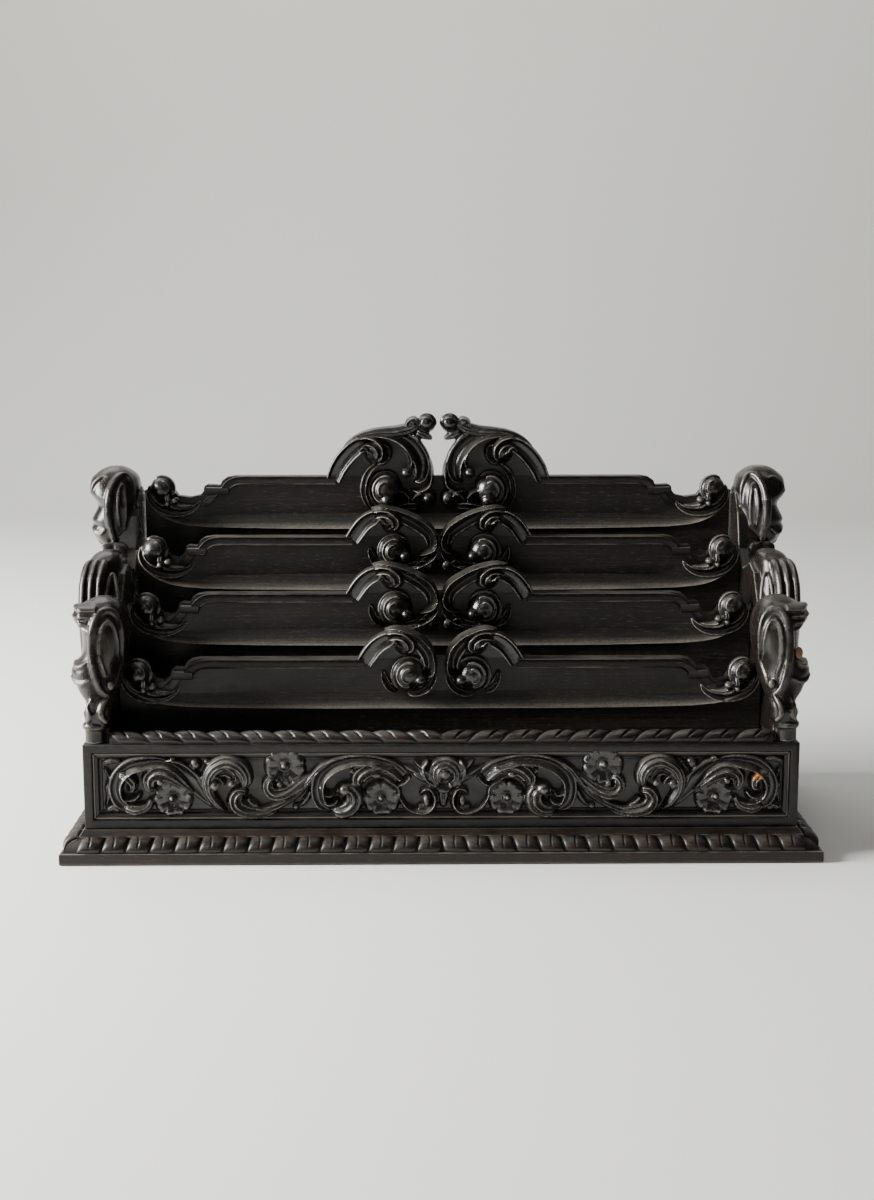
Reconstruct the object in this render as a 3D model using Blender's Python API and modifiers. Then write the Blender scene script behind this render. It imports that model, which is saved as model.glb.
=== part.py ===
"""Tiered book display stand in carved dark hardwood.

A plinth board with a mitred edge moulding carries a four-sided box. Two scrolled end panels
stand on the box sides, and four stepped dividers are housed in grooves between them.
Metres, +Z up, +X to the right, the front faces -Y. The origin is under the middle of the base.
"""

import math

import bmesh
import bpy
from mathutils import Matrix, Vector

GAP = 0.0003

# Base
BASE_WIDTH = 0.430
BASE_DEPTH = 0.202
BASE_HEIGHT = 0.0173
BASE_EDGE_HEIGHT = 0.0068
RAMP_TOP = 0.0134
PLINTH_MOULDING_WIDTH = 0.014
OVERHANG = 0.013

# Box
BOX_WIDTH = BASE_WIDTH - 2 * OVERHANG
BOX_DEPTH = BASE_DEPTH - 2 * OVERHANG
BOX_TOP = 0.0665
BOX_BOTTOM = BASE_HEIGHT + GAP
FRONT_THICKNESS = 0.010
BACK_THICKNESS = 0.011
FLOOR_THICKNESS = 0.008
FLOOR_TOP = BOX_BOTTOM + FLOOR_THICKNESS
INNER_HALF = 0.1876

# Sunk panels on the box's front and sides
BORDER = 0.005
PANEL_SINK = 0.0065
BEAD_WIDTH = 0.0045
GROUND_THICKNESS = 0.0015
CARVING_PROUD = 0.004

# End panels
END_THICKNESS = 0.0123
END_BOTTOM = BOX_TOP + GAP
POST_TOP = 0.077
HOUSING_DEPTH = 0.003

# Dividers, from the front one to the back one
DIVIDER_THICKNESS = 0.011
DIVIDER_PITCH = 0.0384
FIRST_DIVIDER_Y = -BASE_DEPTH / 2 + 0.0515
FIELD_SINK = 0.003
FIELD_DROP = 0.0125
RELIEF = 0.0085
BALL_X = 0.1755
BALL_RADIUS = 0.0078
TIERS = (
    dict(name="divider_front", top=0.1070, field=0.0782, run_end=0.1426, scroll=0.0486, rise=0.0192),
    dict(name="divider_second", top=0.1392, field=0.1079, run_end=0.1460, scroll=0.0566, rise=0.0198),
    dict(name="divider_third", top=0.1685, field=0.1354, run_end=0.1426, scroll=0.0578, rise=0.0195),
    dict(name="divider_back", top=0.2022, field=0.1688, run_end=0.1314, scroll=0.0696, rise=0.0300),
)
FINIAL_TOP = 0.2405

# Fasteners
FASTENER_X = 0.1913
FASTENER_Y = (-0.025, 0.050)
SCREW_LENGTH = 0.030
SCREW_SHANK_RADIUS = 0.0018
SCREW_HEAD_RADIUS = 0.0036
SCREW_HEAD_DEPTH = 0.0024
DOWEL_RADIUS = 0.002
DOWEL_LENGTH = 0.020

# Local XY laid into a vertical plane: the curve's own depth axis points to -Y, or to +X
FRONT_PLANE = Matrix(((1, 0, 0, 0), (0, 0, -1, 0), (0, 1, 0, 0), (0, 0, 0, 1)))
SIDE_PLANE = Matrix(((0, 0, 1, 0), (1, 0, 0, 0), (0, 1, 0, 0), (0, 0, 0, 1)))

for old in list(bpy.data.objects):
    bpy.data.objects.remove(old, do_unlink=True)

parts = bpy.data.collections.new("book_display_stand")
cutters = bpy.data.collections.new("cutters")
bpy.context.scene.collection.children.link(parts)
bpy.context.scene.collection.children.link(cutters)


def finish_material(name, colour, roughness, metallic=0.0):
    material = bpy.data.materials.new(name)
    material.use_nodes = True
    shader = material.node_tree.nodes["Principled BSDF"]
    shader.inputs["Base Color"].default_value = (*colour, 1)
    shader.inputs["Roughness"].default_value = roughness
    shader.inputs["Metallic"].default_value = metallic
    return material


def ebony(name):
    return finish_material(name + "_ebony", (0.022, 0.016, 0.014), 0.38)


def place(obj, material=None):
    """A part goes in the parts collection with its material, and a tool without one is hidden."""
    if material:
        parts.objects.link(obj)
        obj.data.materials.append(material)
    else:
        cutters.objects.link(obj)
        obj.hide_render = True
        obj.display_type = "WIRE"
    return obj


def mesh_object(name, bm, material=None):
    bmesh.ops.recalc_face_normals(bm, faces=bm.faces)
    mesh = bpy.data.meshes.new(name)
    bm.to_mesh(mesh)
    bm.free()
    return place(bpy.data.objects.new(name, mesh), material)


def block(name, low, high, material=None):
    low, high = Vector(low), Vector(high)
    bm = bmesh.new()
    sides = Matrix.Diagonal((*(high - low), 1))
    bmesh.ops.create_cube(bm, size=1, matrix=Matrix.Translation((low + high) / 2) @ sides)
    return mesh_object(name, bm, material)


def domes(name, centres_and_radii, around=14, along=8, foot=None):
    """Ellipsoids that don't touch each other, to be joined to a board, cut off flat below foot."""
    bm = bmesh.new()
    for centre, radii in centres_and_radii:
        shape = Matrix.Translation(centre) @ Matrix.Diagonal((*radii, 1))
        bmesh.ops.create_uvsphere(bm, u_segments=around, v_segments=along, radius=1, matrix=shape)
    if foot is not None:
        trim(bm, (0, 0, foot), (0, 0, -1))
    return mesh_object(name, bm)


def trim(bm, point, outward):
    """Cut off what lies beyond a plane, and close the cut."""
    everything = bm.verts[:] + bm.edges[:] + bm.faces[:]
    bmesh.ops.bisect_plane(bm, geom=everything, plane_co=point, plane_no=outward, clear_outer=True)
    bmesh.ops.holes_fill(bm, edges=[edge for edge in bm.edges if edge.is_boundary], sides=0)


def outline_mesh(name, points, thickness, steps=5):
    """A closed outline of (a, b, rounded) points filled and thickened evenly about its plane."""
    curve = bpy.data.curves.new(name, "CURVE")
    curve.dimensions = "2D"
    curve.fill_mode = "BOTH"
    curve.extrude = thickness / 2
    curve.resolution_u = steps
    spline = curve.splines.new("BEZIER")
    spline.use_cyclic_u = True
    spline.bezier_points.add(len(points) - 1)
    for knot, (a, b, rounded) in zip(spline.bezier_points, points):
        knot.co = (a, b, 0)
        knot.handle_left_type = knot.handle_right_type = "AUTO" if rounded else "VECTOR"
    holder = bpy.data.objects.new(name, curve)
    bpy.context.scene.collection.objects.link(holder)
    bpy.context.view_layer.update()
    mesh = bpy.data.meshes.new_from_object(holder.evaluated_get(bpy.context.evaluated_depsgraph_get()))
    bpy.data.objects.remove(holder)
    bm = bmesh.new()
    bm.from_mesh(mesh)
    bpy.data.meshes.remove(mesh)
    bmesh.ops.remove_doubles(bm, verts=bm.verts, dist=1e-6)
    return bm


def carve(target, tool, operation="DIFFERENCE"):
    boolean = target.modifiers.new(tool.name, "BOOLEAN")
    boolean.operation = operation
    boolean.object = tool
    return target


def mitred_frame(names, section, width, height, lay):
    """Four strips round a width x height rectangle in local XY, their ends mitred at 45 degrees.

    The section is (distance in from the outer edge, height above the plane).
    """
    for turn, name in enumerate(names):
        length, across = (width, height) if turn % 2 == 0 else (height, width)
        bm = outline_mesh(name, [(inset - across / 2, up, False) for inset, up in section], length)
        bmesh.ops.transform(bm, matrix=SIDE_PLANE, verts=bm.verts)
        for side in (-1, 1):
            trim(bm, (side * (length / 2 - GAP), -across / 2, 0), (side, 1, 0))
        place_in = lay @ Matrix.Rotation(turn * math.pi / 2, 4, "Z")
        bmesh.ops.transform(bm, matrix=place_in, verts=bm.verts)
        mesh_object(name, bm, ebony(name))


def plinth():
    """The base board, and its edge moulding: a low square edge, a rounded ramp and a canted fillet."""
    core = (BASE_WIDTH / 2 - PLINTH_MOULDING_WIDTH - GAP, BASE_DEPTH / 2 - PLINTH_MOULDING_WIDTH - GAP)
    board = block("base_board", (-core[0], -core[1], 0), (*core, BASE_HEIGHT), ebony("base_board"))
    ramp_in, ramp_rise = 0.0095, RAMP_TOP - BASE_EDGE_HEIGHT
    ramp = [
        (ramp_in * (1 - math.cos(angle)), BASE_EDGE_HEIGHT + ramp_rise * math.sin(angle))
        for angle in (step * math.pi / 12 for step in range(7))
    ]
    section = [(0, 0), *ramp, (ramp_in, RAMP_TOP + 0.0006), (OVERHANG - 0.0003, BASE_HEIGHT)]
    section += [(PLINTH_MOULDING_WIDTH, BASE_HEIGHT), (PLINTH_MOULDING_WIDTH, 0)]
    names = ("plinth_front", "plinth_right", "plinth_back", "plinth_left")
    mitred_frame(names, section, BASE_WIDTH, BASE_DEPTH, Matrix.Identity(4))
    return board


def sunk_panel(board, where, lay, width, height, bosses):
    """A recess in the board's face, a mitred bead round it and a carved relief on its ground.

    lay takes local XY to the board's face, with local +Z out of the face.
    """
    well = block(
        where + "_well", (-width / 2, -height / 2, -PANEL_SINK), (width / 2, height / 2, 0.01)
    )
    well.matrix_world = lay
    carve(board, well)
    step_down, inner_drop = -0.0015, -0.0045
    foot = -PANEL_SINK + GAP
    edge = GAP
    section = [(edge, foot), (edge, step_down), (BEAD_WIDTH, inner_drop), (BEAD_WIDTH, foot)]
    names = [f"{where}_bead_{end}" for end in ("bottom", "right", "top", "left")]
    mitred_frame(names, section, width, height, lay)

    half_width, half_height = (side / 2 - BEAD_WIDTH - GAP for side in (width, height))
    name = where + "_carving"
    ground = block(
        name,
        (-half_width, -half_height, foot),
        (half_width, half_height, foot + GROUND_THICKNESS),
        ebony(name),
    )
    rise = CARVING_PROUD - foot
    shapes = [
        (Vector((x, up, foot + 0.0005)), (radius, min(radius, half_height - abs(up)), rise * share))
        for x, up, radius, share in bosses
    ]
    relief = domes(where + "_bosses", shapes, around=12, along=6, foot=foot + 0.0003)
    carve(ground, relief, "UNION")
    relief.matrix_world = ground.matrix_world = lay


def scroll_bosses(count):
    """Scrolls and flowers by turns outwards from a centre rosette, mirrored about it."""
    scroll, flower, pitch = 0.0125, 0.0085, 0.0285
    bosses = [(0, 0.005, 0.0105, 1.0)]
    for index in range(1, count + 1):
        is_flower = index % 2
        radius, share = (flower, 0.6) if is_flower else (scroll, 1.0)
        up = (-0.007 if index % 4 == 1 else 0.007) if is_flower else 0.0
        bosses += [(side * pitch * index, up, radius, share) for side in (-1, 1)]
    return bosses


def box_of_boards():
    """Front and back boards across the full width, the side boards and the floor between them."""
    front_y, back_y = -BOX_DEPTH / 2, BOX_DEPTH / 2
    half = BOX_WIDTH / 2
    front = block(
        "box_front",
        (-half, front_y, BOX_BOTTOM),
        (half, front_y + FRONT_THICKNESS, BOX_TOP),
        ebony("box_front"),
    )
    block(
        "box_back",
        (-half, back_y - BACK_THICKNESS, BOX_BOTTOM),
        (half, back_y, BOX_TOP),
        ebony("box_back"),
    )
    side_low = front_y + FRONT_THICKNESS + GAP
    side_high = back_y - BACK_THICKNESS - GAP
    block(
        "box_floor",
        (-INNER_HALF + GAP, side_low, BOX_BOTTOM),
        (INNER_HALF - GAP, side_high, FLOOR_TOP),
        ebony("box_floor"),
    )
    middle_z = (BOX_BOTTOM + BOX_TOP) / 2
    panel_height = BOX_TOP - BOX_BOTTOM - 2 * BORDER
    front_lay = Matrix.Translation((0, front_y, middle_z)) @ FRONT_PLANE
    sunk_panel(front, "front", front_lay, BOX_WIDTH - 2 * BORDER, panel_height, scroll_bosses(6))

    sides = {}
    for side, word in ((-1, "left"), (1, "right")):
        low_x, high_x = sorted((side * INNER_HALF, side * half))
        name = "box_side_" + word
        board = block(
            name, (low_x, side_low, BOX_BOTTOM), (high_x, side_high, BOX_TOP), ebony(name)
        )
        face = Matrix.Translation((side * half, (side_low + side_high) / 2, middle_z))
        lay = face @ Matrix.Rotation(side * math.pi / 2, 4, "Z") @ FRONT_PLANE
        sunk_panel(board, word, lay, side_high - side_low - 2 * 0.0015, panel_height, scroll_bosses(2))
        sides[side] = board
    return sides


def rail_moulding():
    """The half-round gadroon strip on top of the front board, between the two posts."""
    width, height, steps = 0.0095, 0.0062, 8
    arc = [
        (-width / 2 * math.cos(math.pi * step / steps), height * math.sin(math.pi * step / steps), False)
        for step in range(steps + 1)
    ]
    bm = outline_mesh("rail_gadroon", arc, 2 * (INNER_HALF - 0.0005))
    lift = Matrix.Translation((0, -BOX_DEPTH / 2 + width / 2 + 0.0004, BOX_TOP + GAP))
    bmesh.ops.transform(bm, matrix=lift @ SIDE_PLANE, verts=bm.verts)
    mesh_object("rail_gadroon", bm, ebony("rail_gadroon"))


def end_outline():
    """(y, z, rounded) round an end panel: front post, front scroll, low middle scroll, back scroll."""
    front, back = -BOX_DEPTH / 2, BOX_DEPTH / 2
    return [
        (front, END_BOTTOM, False),
        (front, POST_TOP, False),
        (front + 0.004, 0.079, False),
        (front + 0.005, 0.100, True),
        (front + 0.007, 0.126, True),
        (front + 0.020, 0.143, True),
        (front + 0.036, 0.145, True),
        (front + 0.052, 0.131, False),
        (-0.026, 0.140, True),
        (-0.014, 0.157, True),
        (0.001, 0.1635, True),
        (0.014, 0.159, True),
        (0.025, 0.150, False),
        (0.037, 0.160, True),
        (0.044, 0.184, True),
        (0.056, 0.202, True),
        (0.070, 0.2065, True),
        (0.082, 0.200, True),
        (back, 0.184, True),
        (back, 0.170, False),
        (back, END_BOTTOM, False),
    ]


def end_panel(side, word):
    """A scrolled board with its volutes standing out on both faces."""
    name = "end_panel_" + word
    bm = outline_mesh(name, end_outline(), END_THICKNESS, steps=4)
    shift = Matrix.Translation((side * (INNER_HALF + END_THICKNESS / 2), 0, 0))
    bmesh.ops.transform(bm, matrix=shift @ SIDE_PLANE, verts=bm.verts)
    panel = mesh_object(name, bm, ebony(name))
    volutes = (
        ((0.1945, -0.0610, 0.1260), (0.0175, 0.0205, 0.0205)),
        ((0.2005, -0.0640, 0.0950), (0.0130, 0.0190, 0.0210)),
        ((0.1975, 0.0000, 0.1505), (0.0115, 0.0160, 0.0135)),
        ((0.2035, 0.0640, 0.1820), (0.0145, 0.0225, 0.0255)),
    )
    for index, (centre, radii) in enumerate(volutes):
        at = Vector((side * centre[0], centre[1], centre[2]))
        carve(panel, domes(f"{word}_volute_{index}", [(at, radii)]), "UNION")
    return panel


def divider_outline(tier):
    """(x, z, rounded) round a divider: level mouldings, end scoops and balls, two centre crests."""
    top, scroll, rise, run_end = (tier[key] for key in ("top", "scroll", "rise", "run_end"))
    ball_z = top - 0.0065
    crest_in = 0.0030
    half = [
        (crest_in, top - 0.001, False),
        (crest_in, top + rise * 0.62, True),
        (crest_in + 0.30 * scroll, top + rise * 0.93, True),
        (0.62 * scroll, top + rise, True),
        (0.86 * scroll, top + rise * 0.62, True),
        (scroll, top + 0.002, False),
        (scroll - 0.001, top, False),
        (run_end, top, False),
        (run_end + 0.007, top - 0.005, False),
        (BALL_X - 0.017, top - 0.006, False),
        (BALL_X - 0.012, top - 0.0112, True),
        (BALL_X - 0.006, ball_z - 0.004, False),
        (BALL_X - 0.004, ball_z + 0.0055, True),
        (BALL_X + 0.002, ball_z + 0.0070, True),
        (BALL_X + 0.008, ball_z, False),
        (INNER_HALF - GAP, top - 0.0125, False),
        (INNER_HALF + HOUSING_DEPTH - GAP, top - 0.0125, False),
        (INNER_HALF + HOUSING_DEPTH - GAP, FLOOR_TOP + GAP, False),
    ]
    return [(-x, z, rounded) for x, z, rounded in reversed(half)] + half


def divider(tier, front_y, sides):
    """One board with a sunk field, and its crests and end balls standing proud of its face."""
    name, top, scroll, rise = (tier[key] for key in ("name", "top", "scroll", "rise"))
    bm = outline_mesh(name, divider_outline(tier), DIVIDER_THICKNESS, steps=4)
    lay = Matrix.Translation((0, front_y + DIVIDER_THICKNESS / 2, 0)) @ FRONT_PLANE
    bmesh.ops.transform(bm, matrix=lay, verts=bm.verts)
    board = mesh_object(name, bm, ebony(name))
    field = block(
        name + "_field",
        (-INNER_HALF + 0.004, front_y - 0.01, tier["field"]),
        (INNER_HALF - 0.004, front_y + FIELD_SINK, top - FIELD_DROP),
    )
    carve(board, field)
    crest_half = (scroll - 0.003) / 2
    drop = 0.0185
    crest_z = top + (rise - drop) / 2
    shapes = []
    for side in (-1, 1):
        crest = Vector((side * (0.003 + crest_half), front_y + 0.001, crest_z))
        shapes.append((crest, (crest_half - 0.0005, RELIEF + 0.001, (rise + drop) / 2 - 0.0005)))
        ball = Vector((side * BALL_X, front_y + 0.0005, top - 0.0065))
        shapes.append((ball, (BALL_RADIUS, RELIEF - 0.001, BALL_RADIUS)))
    carve(board, domes(name + "_relief", shapes), "UNION")
    if tier["name"] == "divider_back":
        finials(board, front_y)
    house_in(sides, front_y, top - 0.0122, name)
    return board


def finials(board, front_y):
    """The two small curled tips above the back divider's crests."""
    radius = 0.0055
    for side, word in ((-1, "left"), (1, "right")):
        tip = Vector((side * 0.0092, front_y + 0.003, FINIAL_TOP - radius))
        stalk = Vector((side * 0.0155, front_y + 0.004, FINIAL_TOP - 0.0125))
        carve(board, domes(f"finial_tip_{word}", [(tip, (radius, 0.0055, radius))]), "UNION")
        carve(board, domes(f"finial_stalk_{word}", [(stalk, (0.0100, 0.0050, 0.0085))]), "UNION")


def house_in(sides, front_y, height, name):
    """A groove in each box side and end panel takes the divider's end."""
    for side, boards in sides.items():
        low_x, high_x = sorted((side * (INNER_HALF - 0.003), side * (INNER_HALF + HOUSING_DEPTH)))
        groove = block(
            f"{name}_groove_{'right' if side > 0 else 'left'}",
            (low_x, front_y - GAP, FLOOR_TOP - GAP),
            (high_x, front_y + DIVIDER_THICKNESS + GAP, height),
        )
        for board in boards:
            carve(board, groove)


def turned(name, profile, at, material=None, steps=16):
    """A solid of revolution about the vertical through at; the profile is (radius, height)."""
    mesh = bpy.data.meshes.new(name)
    points = [(radius, 0, height) for radius, height in profile]
    mesh.from_pydata(points, [(i, i + 1) for i in range(len(points) - 1)], [])
    obj = place(bpy.data.objects.new(name, mesh), material)
    obj.location = at
    screw = obj.modifiers.new("turn", "SCREW")
    screw.steps = screw.render_steps = steps
    screw.use_merge_vertices = True
    screw.merge_threshold = 1e-5
    return obj


def fasteners(base, sides):
    """Screws up through the base into the box sides, and dowels between box sides and end panels."""
    steel = finish_material("screw_steel", (0.35, 0.33, 0.30), 0.45, 1.0)
    beech = finish_material("dowel_beech", (0.45, 0.28, 0.14), 0.6)
    head_low = 0.0004
    for side, word in ((-1, "left"), (1, "right")):
        box_side, panel = sides[side]
        for y, end in zip(FASTENER_Y, ("front", "back")):
            at = (side * FASTENER_X, y, 0)
            for clear, kind in ((0, "base_screw"), (GAP, "screw_hole")):
                tip, low = SCREW_LENGTH + clear, (0 if clear else head_low)
                profile = [
                    (0, tip),
                    (SCREW_SHANK_RADIUS + clear, tip - 0.004 * (not clear)),
                    (SCREW_SHANK_RADIUS + clear, SCREW_HEAD_DEPTH + clear),
                    (SCREW_HEAD_RADIUS + clear, low),
                ]
                if clear:
                    profile.append((SCREW_HEAD_RADIUS + clear, -0.002))
                profile.append((0, profile[-1][1]))
                material = None if clear else steel
                made = turned(f"{kind}_{word}_{end}", profile, at, material)
            carve(base, made)
            carve(box_side, made)
            for clear, kind in ((0, "dowel"), (GAP, "dowel_hole")):
                radius = DOWEL_RADIUS + clear
                low = BOX_TOP - DOWEL_LENGTH / 2 - clear
                high = BOX_TOP + DOWEL_LENGTH / 2 + clear
                profile = [(0, high), (radius, high), (radius, low), (0, low)]
                made = turned(f"{kind}_{word}_{end}", profile, at, None if clear else beech)
            carve(box_side, made)
            carve(panel, made)


base_board = plinth()
box_sides = box_of_boards()
rail_moulding()
end_panels = {side: end_panel(side, word) for side, word in ((-1, "left"), (1, "right"))}
housings = {side: (box_sides[side], end_panels[side]) for side in (-1, 1)}
for number, details in enumerate(TIERS):
    divider(details, FIRST_DIVIDER_Y + number * DIVIDER_PITCH, housings)
fasteners(base_board, housings)
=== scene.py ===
"""The finished surface of a carved ebony book display stand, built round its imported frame.

Carving is drawn as strokes on a flat ground in millimetres, fused into one body and smoothed,
as a chisel leaves it. Metres elsewhere, +Z up, +X to the right, the front faces -Y.
"""

import math

import bmesh
import bpy
import numpy as np
from mathutils import Matrix, Vector, noise


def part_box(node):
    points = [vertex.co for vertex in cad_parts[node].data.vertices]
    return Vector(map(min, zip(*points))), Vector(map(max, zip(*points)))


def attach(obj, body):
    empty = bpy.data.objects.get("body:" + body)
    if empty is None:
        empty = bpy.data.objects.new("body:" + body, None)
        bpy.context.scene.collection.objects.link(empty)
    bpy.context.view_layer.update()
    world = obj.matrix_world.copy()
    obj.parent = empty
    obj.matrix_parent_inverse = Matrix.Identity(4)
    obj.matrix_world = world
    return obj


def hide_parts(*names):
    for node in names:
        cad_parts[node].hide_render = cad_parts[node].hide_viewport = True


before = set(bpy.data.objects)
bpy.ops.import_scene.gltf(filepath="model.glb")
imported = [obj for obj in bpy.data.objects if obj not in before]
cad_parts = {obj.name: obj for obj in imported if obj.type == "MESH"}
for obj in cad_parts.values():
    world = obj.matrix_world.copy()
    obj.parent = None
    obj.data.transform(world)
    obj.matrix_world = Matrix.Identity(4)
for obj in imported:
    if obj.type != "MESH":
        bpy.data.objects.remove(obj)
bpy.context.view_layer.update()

MM = 0.001
BODY = "root"
GAP = 0.0003  # between pieces that touch
SIDES = ((-1, "left"), (1, "right"))

# A carving's x, y, z laid on a front face, and on the outer face of the right end panel
FRONT_FACE = Matrix(((1, 0, 0), (0, 0, -1), (0, 1, 0)))
END_FACE = Matrix(((0, 0, 1), (1, 0, 0), (0, 1, 0)))


# ---------------------------------------------------------------- finishes


def linear(colour):
    """An sRGB hex colour as linear RGBA."""
    channels = [int(colour[i : i + 2], 16) / 255 for i in (0, 2, 4)]
    return [c / 12.92 if c <= 0.04045 else ((c + 0.055) / 1.055) ** 2.4 for c in channels] + [1.0]


def add(tree, kind, inputs=None, **settings):
    """A node with its settings, each input given a value or linked to another node's socket."""
    made = tree.nodes.new(kind)
    for name, value in settings.items():
        setattr(made, name, value)
    for socket, value in (inputs or {}).items():
        if isinstance(value, bpy.types.NodeSocket):
            tree.links.new(value, made.inputs[socket])
        else:
            made.inputs[socket].default_value = value
    return made


def new_finish(name):
    """An empty material with its tree and shader."""
    material = bpy.data.materials.new(name)
    material.use_nodes = True
    tree = material.node_tree
    return material, tree, tree.nodes["Principled BSDF"]


def ramp(tree, value, low, high, to_low=0.0, to_high=1.0):
    scaled = add(
        tree,
        "ShaderNodeMapRange",
        {"Value": value, "From Min": low, "From Max": high, "To Min": to_low, "To Max": to_high},
        interpolation_type="SMOOTHSTEP",
    )
    return scaled.outputs["Result"]


def sums(tree, operation, first, second):
    node = add(tree, "ShaderNodeMath", {0: first, 1: second}, operation=operation, use_clamp=True)
    return node.outputs[0]


def mixed(tree, share, first, second):
    made = add(tree, "ShaderNodeMix", {"Factor": share, "A": first, "B": second}, data_type="RGBA")
    return made


def stretched(tree, along, length, width, detail=4.0, roughness=0.6, shift=0.0):
    """Noise drawn out along the grain: length and width are the streaks' size in metres."""
    coordinates = add(tree, "ShaderNodeTexCoord").outputs["Object"]
    scale = [1 / length if axis == along else 1 / width for axis in "XYZ"]
    given = {"Vector": coordinates, "Scale": scale, "Location": (shift,) * 3}
    mapping = add(tree, "ShaderNodeMapping", given)
    texture = add(
        tree,
        "ShaderNodeTexNoise",
        {"Vector": mapping.outputs[0], "Scale": 1.0, "Detail": detail, "Roughness": roughness},
    )
    return texture.outputs["Fac"]


def ebony(
    name, along="X", heart="0A0807", streak="20140E", dust=0.5, streaks=0.6, gloss=0.34, shine=0.42,
    edge_wear_and_highlight=0.6
):
    """Old waxed ebony: near black with brown streaks along the grain and a satin skin of wax,
    arrises rubbed to a thin pale line that is also a painted highlight, grey dust lying on ledges,
    pale dust and a painted highlight where points are marked pale, and painted shade in the hollows."""
    material, tree, shader = new_finish(name)
    fine = stretched(tree, along, 0.045, 0.0010, 5.0, 0.62)
    broad = stretched(tree, along, 0.150, 0.0065, 3.0, 0.5, 3.1)
    pores = stretched(tree, along, 0.0050, 0.00042, 2.0, 0.5, 7.7)
    patches = stretched(tree, along, 0.022, 0.011, 4.0, 0.65, 1.3)
    specks = stretched(tree, along, 0.0016, 0.0011, 3.0, 0.7, 5.9)

    brown = sums(tree, "MULTIPLY", ramp(tree, fine, 0.42, 0.70), ramp(tree, broad, 0.35, 0.62))
    streaked = sums(tree, "MULTIPLY", brown, streaks)
    wood = mixed(tree, streaked, linear(heart), linear(streak)).outputs["Result"]

    hollow = add(tree, "ShaderNodeAttribute", attribute_name="hollow").outputs["Fac"]
    normal = add(tree, "ShaderNodeNewGeometry").outputs["Normal"]
    upward = add(tree, "ShaderNodeSeparateXYZ", {0: normal}).outputs["Z"]
    deep = ramp(tree, hollow, 0.25, 0.9, 0.0, 0.75)
    pale = add(tree, "ShaderNodeAttribute", attribute_name="pale").outputs["Fac"]
    # Painted shade: where the hollow mark is high (deep), the wood is darkened towards near black 060505
    wood = mixed(tree, deep, wood, linear("060505")).outputs["Result"]
    level = ramp(tree, upward, 0.25, 0.95)
    settled = sums(tree, "MULTIPLY", level, ramp(tree, patches, 0.34, 0.60, 0.25, 1.0))
    in_pores = ramp(tree, pores, 0.61, 0.70, 0.0, 0.35)
    dust_and_arris_highlight = sums(tree, "ADD", sums(tree, "MULTIPLY", settled, 0.4), in_pores)
    dust_and_arris_highlight = sums(tree, "MULTIPLY", dust_and_arris_highlight, dust)
    # The pale mark adds pale dust together with a painted highlight along the dividers' lower arris
    dust_and_arris_highlight = sums(tree, "ADD", dust_and_arris_highlight, sums(tree, "MULTIPLY", pale, ramp(tree, fine, 0.3, 0.6, 0.45, 1.0)))
    dust_and_arris_highlight = sums(tree, "MULTIPLY", dust_and_arris_highlight, ramp(tree, specks, 0.25, 0.6, 0.45, 1.0))
    # Ridges rubbed to a pale line that also stands in for the highlight the arrises catch: wear plus painted
    # highlight
    arris = ramp(tree, hollow, -0.44, -1.0)
    worn_and_highlit = sums(tree, "MULTIPLY", arris, ramp(tree, patches, 0.32, 0.55, 0.35, 1.0))

    dusty_and_highlit = mixed(tree, dust_and_arris_highlight, wood, linear("7D776D")).outputs["Result"]
    rubbed_and_highlit = mixed(tree, sums(tree, "MULTIPLY", worn_and_highlit, edge_wear_and_highlight), dusty_and_highlit, linear("9A9388")).outputs["Result"]
    bare = add(tree, "ShaderNodeAttribute", attribute_name="bare").outputs["Fac"]
    chipped = mixed(tree, bare, rubbed_and_highlit, linear("9A6430"))
    tree.links.new(chipped.outputs["Result"], shader.inputs["Base Color"])

    skin = ramp(tree, patches, 0.30, 0.70, gloss - 0.05, gloss + 0.09)
    skin = sums(tree, "ADD", skin, sums(tree, "MULTIPLY", dust_and_arris_highlight, 0.5))
    skin = sums(tree, "ADD", skin, sums(tree, "MULTIPLY", deep, 0.35))
    tree.links.new(skin, shader.inputs["Roughness"])
    shader.inputs["IOR"].default_value = 1.5
    shader.inputs["Specular IOR Level"].default_value = shine
    shader.inputs["Coat Weight"].default_value = 0.1
    shader.inputs["Coat Roughness"].default_value = 0.24

    relief = sums(tree, "ADD", sums(tree, "MULTIPLY", fine, 0.5), sums(tree, "MULTIPLY", specks, 0.35))
    relief = sums(tree, "SUBTRACT", relief, in_pores)
    bump = add(tree, "ShaderNodeBump", {"Height": relief, "Strength": 0.35, "Distance": 0.0003})
    tree.links.new(bump.outputs[0], shader.inputs["Normal"])
    return material


def plain_wood(name, pale, dark, along="Z", roughness=0.6):
    """Unpolished light hardwood: fine straight grain, dry and matt."""
    material, tree, shader = new_finish(name)
    grain = stretched(tree, along, 0.012, 0.0006, 4.0)
    tree.links.new(
        mixed(tree, ramp(tree, grain, 0.35, 0.65), linear(pale), linear(dark)).outputs["Result"],
        shader.inputs["Base Color"],
    )
    rough = ramp(tree, grain, 0.3, 0.7, roughness - 0.08, roughness + 0.1)
    tree.links.new(rough, shader.inputs["Roughness"])
    return material


def dull_steel(name):
    """Old plain steel screws: grey, brushed by the screwdriver and freckled with brown rust."""
    material, tree, shader = new_finish(name)
    spots = stretched(tree, "Z", 0.0012, 0.0009, 4.0)
    rust = ramp(tree, spots, 0.52, 0.66)
    tree.links.new(
        mixed(tree, rust, linear("8C8880"), linear("5A3A26")).outputs["Result"], shader.inputs["Base Color"]
    )
    tree.links.new(ramp(tree, rust, 0.0, 1.0, 0.42, 0.8), shader.inputs["Roughness"])
    tree.links.new(ramp(tree, rust, 0.0, 1.0, 1.0, 0.25), shader.inputs["Metallic"])
    return material


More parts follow.
